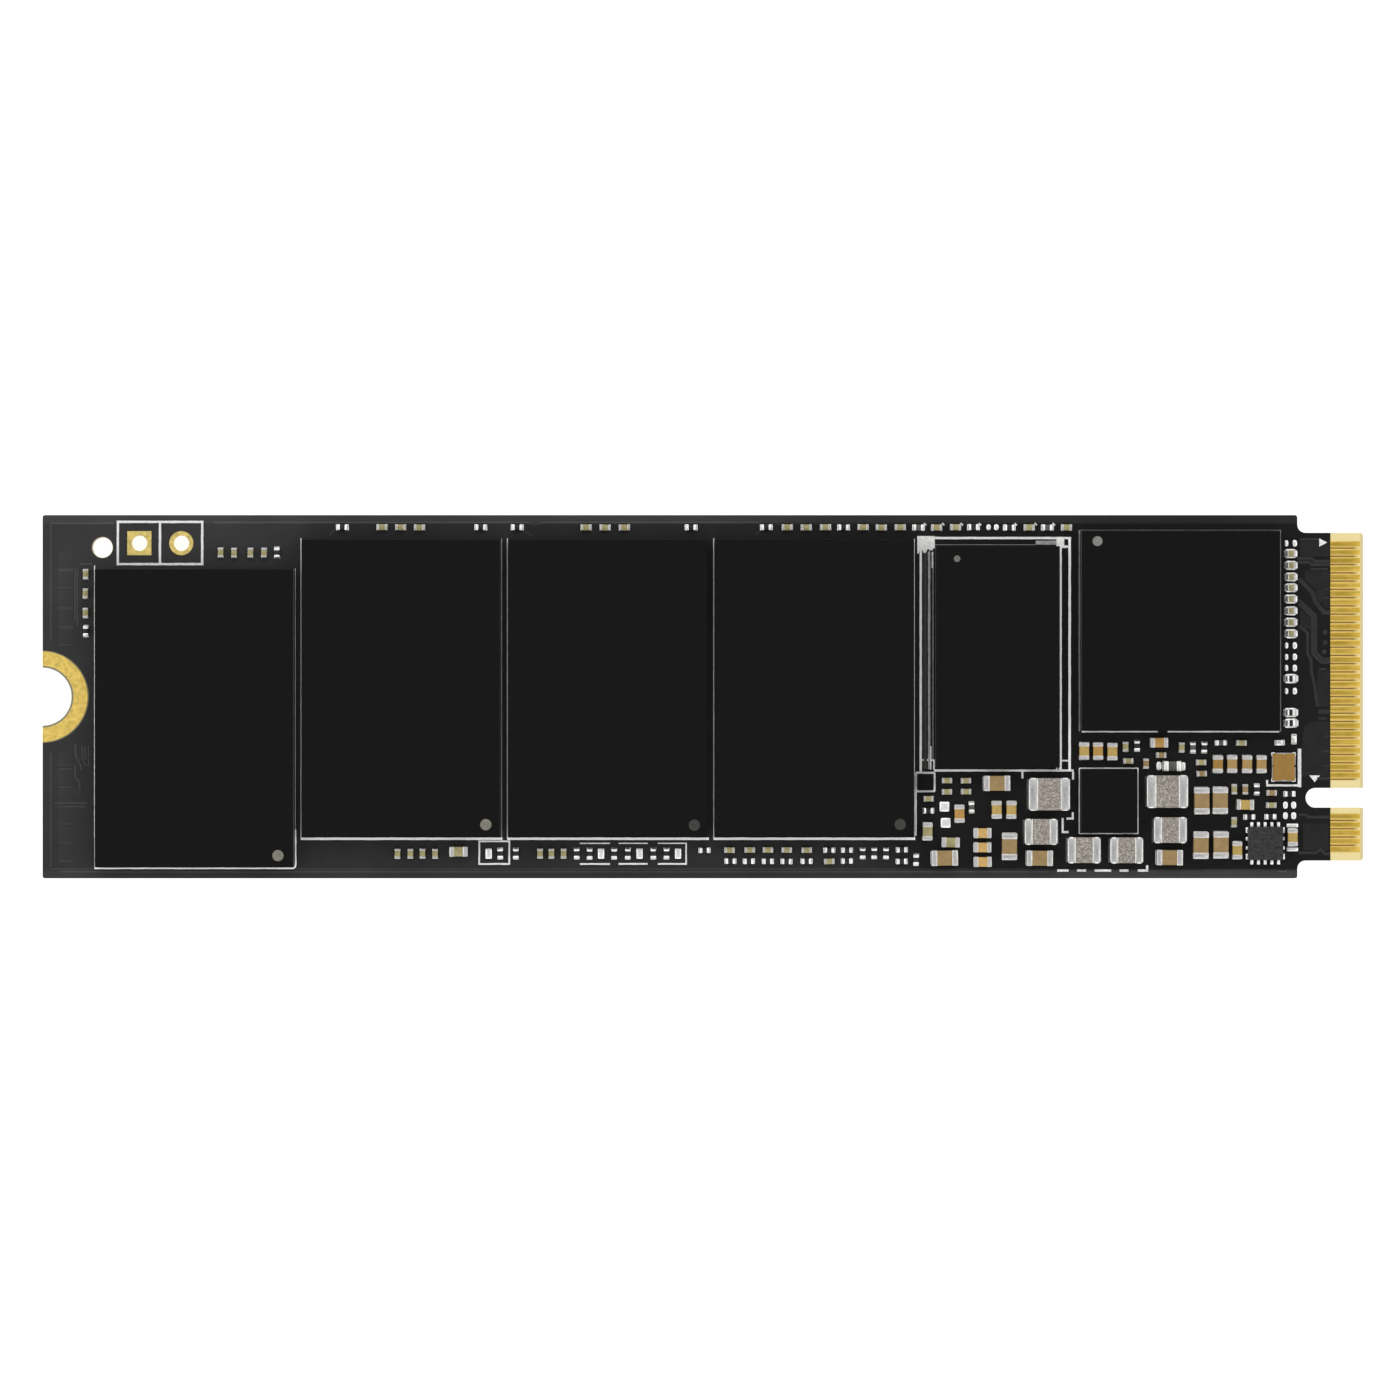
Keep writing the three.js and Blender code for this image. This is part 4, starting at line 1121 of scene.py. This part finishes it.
def make_inductors():
    for i in range(1, 7):
        node = f"power_inductor_{i}"
        low, high = box_mm(node)
        x, y = middle_of(low, high)
        length, width, height = high - low
        cap, ridge, rim = 0.57 if length > 2.2 else 0.49, 0.05, 0.045
        build = Build()
        build.add(block(length - 0.3, width - 0.05, height - 0.03, 0.06, 0.1, 3), FERRITE, x, y, low.z)
        for way in (-1, 1):
            middle = x + way * (length - cap) / 2
            # Each end cap is bright solder with a duller tin plate inset on top: the bright border left round
            # the plate is a painted highlight along the cap's edge.
            build.add(block(cap, width, height - 0.02, 0.07, 0.19, 3), SOLDER, middle, y, low.z)
            plate = block(cap - 2 * rim, width - 2.4 * rim, 0.03, 0.02, 0.09)
            build.add(plate, CAP_TIN, middle, y, low.z + height - 0.035)
            inner = x + way * (length / 2 - cap + ridge / 2)
            build.add(block(ridge, width - 0.06, height - 0.005, 0.015), SOLDER, inner, y, low.z)
            build.add(fillet(0.1, width * 0.86, height * 0.45), SOLDER, x + way * (length / 2 - 0.02), y,
                      CARD_TOP, 0.0 if way > 0 else TURN / 2)
        build.make(node + "_body", "ferrite_composite", node)


def make_bare_pads():
    """Solder pads whose chips are left off."""
    pads = [(17.3, 10.26, 0.26, 0.36), (17.77, 10.26, 0.28, 0.37)]
    pads += [(29.12, -4.22, 0.2, 0.5), (27.62, -4.2, 0.3, 0.52)]
    for y in (9.29, 3.1, 2.41, 1.74, 0.34):
        pads += [(35.34, y, 0.22, 0.36), (35.84, y, 0.28, 0.4)]
    for y in (-6.57, -7.21):
        pads += [(35.28, y, 0.28, 0.42), (35.78, y, 0.3, 0.42)]
    build = Build()
    for x, y, length, width in pads:
        build.add(pillow(length, width, 0.045, 0.45), SOLDER, x, y, CARD_TOP)
    for y in (-7.8, -9.25):
        build.add(pillow(0.7, 0.22, 0.045), SOLDER, 35.7, y, CARD_TOP)
    build.make("bare_solder_pads", "tin_metal")


# ---------------------------------------------------------------- screen print

def package_outline(node, gap, sides):
    """Lines round a package: sides is some of l, r, t and b."""
    low, high = box_mm(node)
    x0, x1, y0, y1 = low.x - gap, high.x + gap, low.y - gap, high.y + gap
    ends = {
        "l": ((x0, y0), (x0, y1)),
        "r": ((x1, y0), (x1, y1)),
        "b": ((x0, y0), (x1, y0)),
        "t": ((x0, y1), (x1, y1)),
    }
    return [ends[s] for s in sides]


def corner_line():
    """The line under the first memory package, which turns up round the package's lower right corner."""
    low, high = box_mm("nand_package_1")
    x, y, radius = high.x + 0.08, low.y - 0.095, 0.2
    bend = arc(x - radius, y + radius, radius, -TURN / 4, 0.0, 5)
    return [(low.x - 0.1, y)] + bend + [(x, y + 2.35)]


def outline_lines():
    """Thin printed lines round the packages, as (width, points)."""
    lines = [(0.03, run) for run in package_outline("controller_package", 0.1, "t")]
    lines += [(0.065, run) for run in package_outline("controller_package", 0.1, "r")]
    lines += [(0.1, run) for run in package_outline("controller_package", 0.08, "l")]
    lines.append((0.08, [(13.93, 8.8), (13.93, -3.9)]))
    lines.append((0.05, [(14.05, 9.21), (20.15, 9.21)]))
    return lines


def package_lines():
    """Printed lines close to the packages, where little light reaches them; their brighter ink is painted
    light against that shade.
    """
    lines = [(0.06, [(-36.85, -8.5), (-36.85, 7.95)]), (0.03, [(-36.85, -10.4), (-36.85, -8.5)])]
    widths = ((0, 0.028), (0.045, 0.024), (0.05, 0), (0.055, 0.03))
    for i, (left, right) in enumerate(widths, 1):
        node = f"nand_package_{i}"
        lines += [(left, run) for run in package_outline(node, 0.1, "l") if left]
        lines += [(right, run) for run in package_outline(node, 0.06, "r") if right]
    lines += [(0.06, run) for run in package_outline("power_manager_package", 0.08, "lrtb")]
    lines += [(0.08, [(22.95, -2.12), (27.55, -2.12)]), (0.08, [(28.15, -2.12), (34.9, -2.12)])]
    lines.append((0.09, [(12.9, -5.75), (12.9, -8.42)]))
    return lines


def memory_lines():
    """The printed frame round the working memory, as (width, points)."""
    return [
        (0.14, [(13.19, 8.8), (13.19, -4.6)]),
        (0.14, [(14.05, 9.61), (22.3, 9.61)]),
        (0.13, [(14.0, -4.47), (22.45, -4.47)]),
        (0.47, [(21.41, 9.36), (21.88, 9.36)]),
        (0.16, [(21.45, 9.09), (22.13, 9.09)]),
        (0.1, [(13.29, -3.84), (14.03, -3.84)]),
        (0.09, [(13.79, -3.0), (13.79, -4.4)]),
        (0.09, [(13.99, -3.89), (13.99, -4.4)]),
        (0.1, [(21.4, -3.87), (22.12, -3.87)]),
        (0.09, [(21.43, -3.92), (21.43, -4.4)]),
        (0.12, [(22.42, -4.54), (22.42, -5.02)]),
        (0.12, [(19.35, -4.54), (19.35, -4.95)]),
        (0.12, [(22.02, -7.38), (22.4, -7.38), (22.4, -7.0)]),
        (0.12, [(21.79, -7.35), (21.79, -8.2), (22.14, -8.2)]),
    ]


def test_hole_lines():
    """The printed box round the test holes, with its divider."""
    bold = 0.14
    x0, x1, y0, y1, split = -35.44, -30.33, 8.03, 10.59, -32.89
    lines = [(bold, [(x0 - bold / 2, y), (x1 + bold / 2, y)]) for y in (y0, y1)]
    return lines + [(bold, [(x, y0), (x, y1)]) for x in (x0, split, x1)]


def lower_edge_lines():
    """Printed dashes and boxes among the chips along the lower edge, as (width, points)."""
    lines = []
    for a, b in ((21.45, 22.15), (22.66, 23.2), (23.72, 24.73), (25.23, 25.77), (26.34, 26.93)):
        lines.append((0.14, [(a, -10.53), (b, -10.53)]))
    lines.append((0.14, [(26.9, -10.6), (26.9, -10.21)]))
    for a, b in ((-7.45, -5.63), (-5.11, -3.35), (-2.73, -0.97)):
        lines += [(0.1, [(a, -10.13), (b, -10.13)]), (0.07, [(a, -8.88), (b, -8.88)])]
    lines.append((0.1, [(-1.02, -8.9), (-1.02, -10.08)]))
    lines += [(0.1, [(-13.6, y), (-11.68, y)]) for y in (-8.76, -10.13)]
    lines += [(0.1, [(x, -8.76), (x, -10.13)]) for x in (-13.55, -11.73)]
    return lines


def chip_brackets():
    """Printed ticks at the corners of the last chips of the upper row, as (width, points)."""
    lines = []
    for x, y, _ in chips_of("top_edge_chip_row", HEIGHTS["rounded"]):
        if 12.5 < x < 21.5:
            lines.append((0.07, [(x + 0.33, y + 0.27), (x + 0.46, y + 0.13)]))
    return lines


def open_lines():
    """Printed lines away from the large packages, as (width, points)."""
    lines = [(0.12, run) for run in package_outline("temperature_sensor", 0.11, "lrtb")]
    lines += test_hole_lines() + lower_edge_lines() + chip_brackets()
    # round the crystal
    lines += [(0.22, [(36.13, -3.15), (36.13, -5.48)]), (0.13, [(34.12, -5.37), (36.02, -5.37)])]
    lines.append((0.12, [(34.17, -5.05), (34.17, -5.31)]))
    return lines


def smear():
    """The filled corner of the printed frame beside the working memory, with a ragged lower edge."""
    steps = 14
    lower = []
    for i in range(steps + 1):
        along = i / steps
        lower.append((-0.52 + 1.06 * along, -0.42 + 0.2 * along + rng.uniform(-0.18, 0.06)))
    return layered(lower + [(0.54, 0.53), (-0.52, 0.53)], ((0, 1), (0.016, 1)))


def bright_lines():
    """The two right lines of the memory's frame and the lines under the packages, as (width, points)."""
    lines = [(0.18, [(21.64, 9.0), (21.64, -4.38)]), (0.15, [(22.21, 9.54), (22.21, -4.5)])]
    lines.append((0.085, corner_line()))
    for i in range(2, 5):
        lines += [(0.145, run) for run in package_outline(f"nand_package_{i}", 0.105, "b")]
    return lines


def printed_lines():
    """Every printed line, as (ink, width, points). Where two cross, the later one lies on top."""
    groups = (
        (INK, open_lines()),
        (FAINT_INK, outline_lines()),
        # Lines beside the packages are in brighter ink: painted light against the packages' shade.
        (INK_WITH_PAINTED_LIGHT, memory_lines() + package_lines()),
        (PALE_INK, [(0.24, [(20.16, 9.33), (21.4, 9.33)]), (0.14, [(13.7, 8.8), (13.7, -4.38)])]),
        (DOT_DARK, [(0.2, [(13.46, 8.8), (13.46, -4.38)])]),
        (INK, [(0.08, [(13.9, 8.75), (13.9, 7.8)])]),
        # The brightest ink, painted light against the deepest shade beside the packages.
        (INK_WITH_MORE_PAINTED_LIGHT, bright_lines()),
    )
    return [(ink, width, points) for ink, lines in groups for width, points in lines]


def make_print():
    build = Build()
    for k, (ink, width, points) in enumerate(printed_lines()):
        ragged = min(0.008, width * 0.1)
        build.add(ribbon(points, width, 0.01 + 0.00005 * k, 0.0, ragged), ink, z=CARD_TOP)
    build.add(smear(), INK, 13.5, 9.2, CARD_TOP)
    key_mark = [(-0.32, 0.13), (0.0, -0.28), (0.32, 0.13)]
    build.add(layered(key_mark, ((0, 1), (0.012, 1))), INK, 37.05, -4.9, CARD_TOP)
    arrow = [(-0.2, -0.25), (0.28, 0.0), (-0.2, 0.25)]
    build.add(layered(arrow, ((0, 1), (0.012, 1))), INK, 37.53, 9.34, CARD_TOP)
    build.make("screen_print", "silkscreen_ink")


# ---------------------------------------------------------------- studio

def make_floor():
    mesh = bpy.data.meshes.new("floor")
    half = 6.0
    corners = [(-half, -half, 0), (half, -half, 0), (half, half, 0), (-half, half, 0)]
    mesh.from_pydata(corners, [], [[0, 1, 2, 3]])
    mat, tree, surface, place = shader("light_table", 0.9, specular=0.1)
    surface.inputs["Emission Color"].default_value = (1.0, 1.0, 1.0, 1.0)
    surface.inputs["Emission Strength"].default_value = 0.85
    finish(tree, surface, ramp(tree, noise(tree, place, 0.02), (0.3, 0.34), (0.7, 0.36)))
    mesh.materials.append(mat)
    floor = bpy.data.objects.new("floor", mesh)
    floor.location.z = -0.00002
    bpy.context.collection.objects.link(floor)


def soft_light(name, place, size, power):
    data = bpy.data.lights.new(name, "AREA")
    data.shape = "DISK"
    data.size = size
    data.energy = power
    lamp = bpy.data.objects.new(name, data)
    lamp.location = place
    lamp.rotation_euler = Vector(place).to_track_quat("Z", "Y").to_euler()
    bpy.context.collection.objects.link(lamp)


def make_studio():
    """A white room, dimmer straight overhead, with a soft lamp on each side."""
    world = bpy.data.worlds.new("studio")
    world.use_nodes = True
    tree = world.node_tree
    direction = tree.nodes.new("ShaderNodeTexCoord").outputs["Generated"]
    _, _, up = axes(tree, direction)
    sky = tree.nodes["Background"]
    sky.inputs["Strength"].default_value = 1.12
    tree.links.new(ramp(tree, up, (0.0, 1.0), (0.45, 0.97), (0.93, 0.38), (1.0, 0.38)), sky.inputs["Color"])
    bpy.context.scene.world = world
    reach, height, size = 0.48, 0.6, 0.42
    soft_light("back_lamp", (0, reach, height), size, 1.15)
    soft_light("left_lamp", (-reach, 0, height), size, 1.05)
    soft_light("right_lamp", (reach, 0, height), size, 0.85)
    soft_light("front_lamp", (0, -reach, height), size, 0.8)
    bpy.context.scene.view_settings.view_transform = "Standard"


def make_camera():
    """Straight above the card, a little off its middle, so that the card spans the picture."""
    seen_width, height = 84.8, 500.0
    data = bpy.data.cameras.new("camera")
    data.sensor_width = 36.0
    data.lens = data.sensor_width * (height - CARD_TOP) / seen_width
    data.clip_start = 0.01
    camera = bpy.data.objects.new("camera", data)
    camera.location = (-0.18 * MM, -0.2 * MM, height * MM)
    bpy.context.collection.objects.link(camera)
    bpy.context.scene.camera = camera


make_camera()
make_studio()
make_floor()
make_laminate()
make_mask()
make_underside()
make_rings()
make_contacts()
make_test_holes()
make_packages()
make_load_switch()
make_crystal()
make_banks()
make_inductors()
make_bare_pads()
make_print()
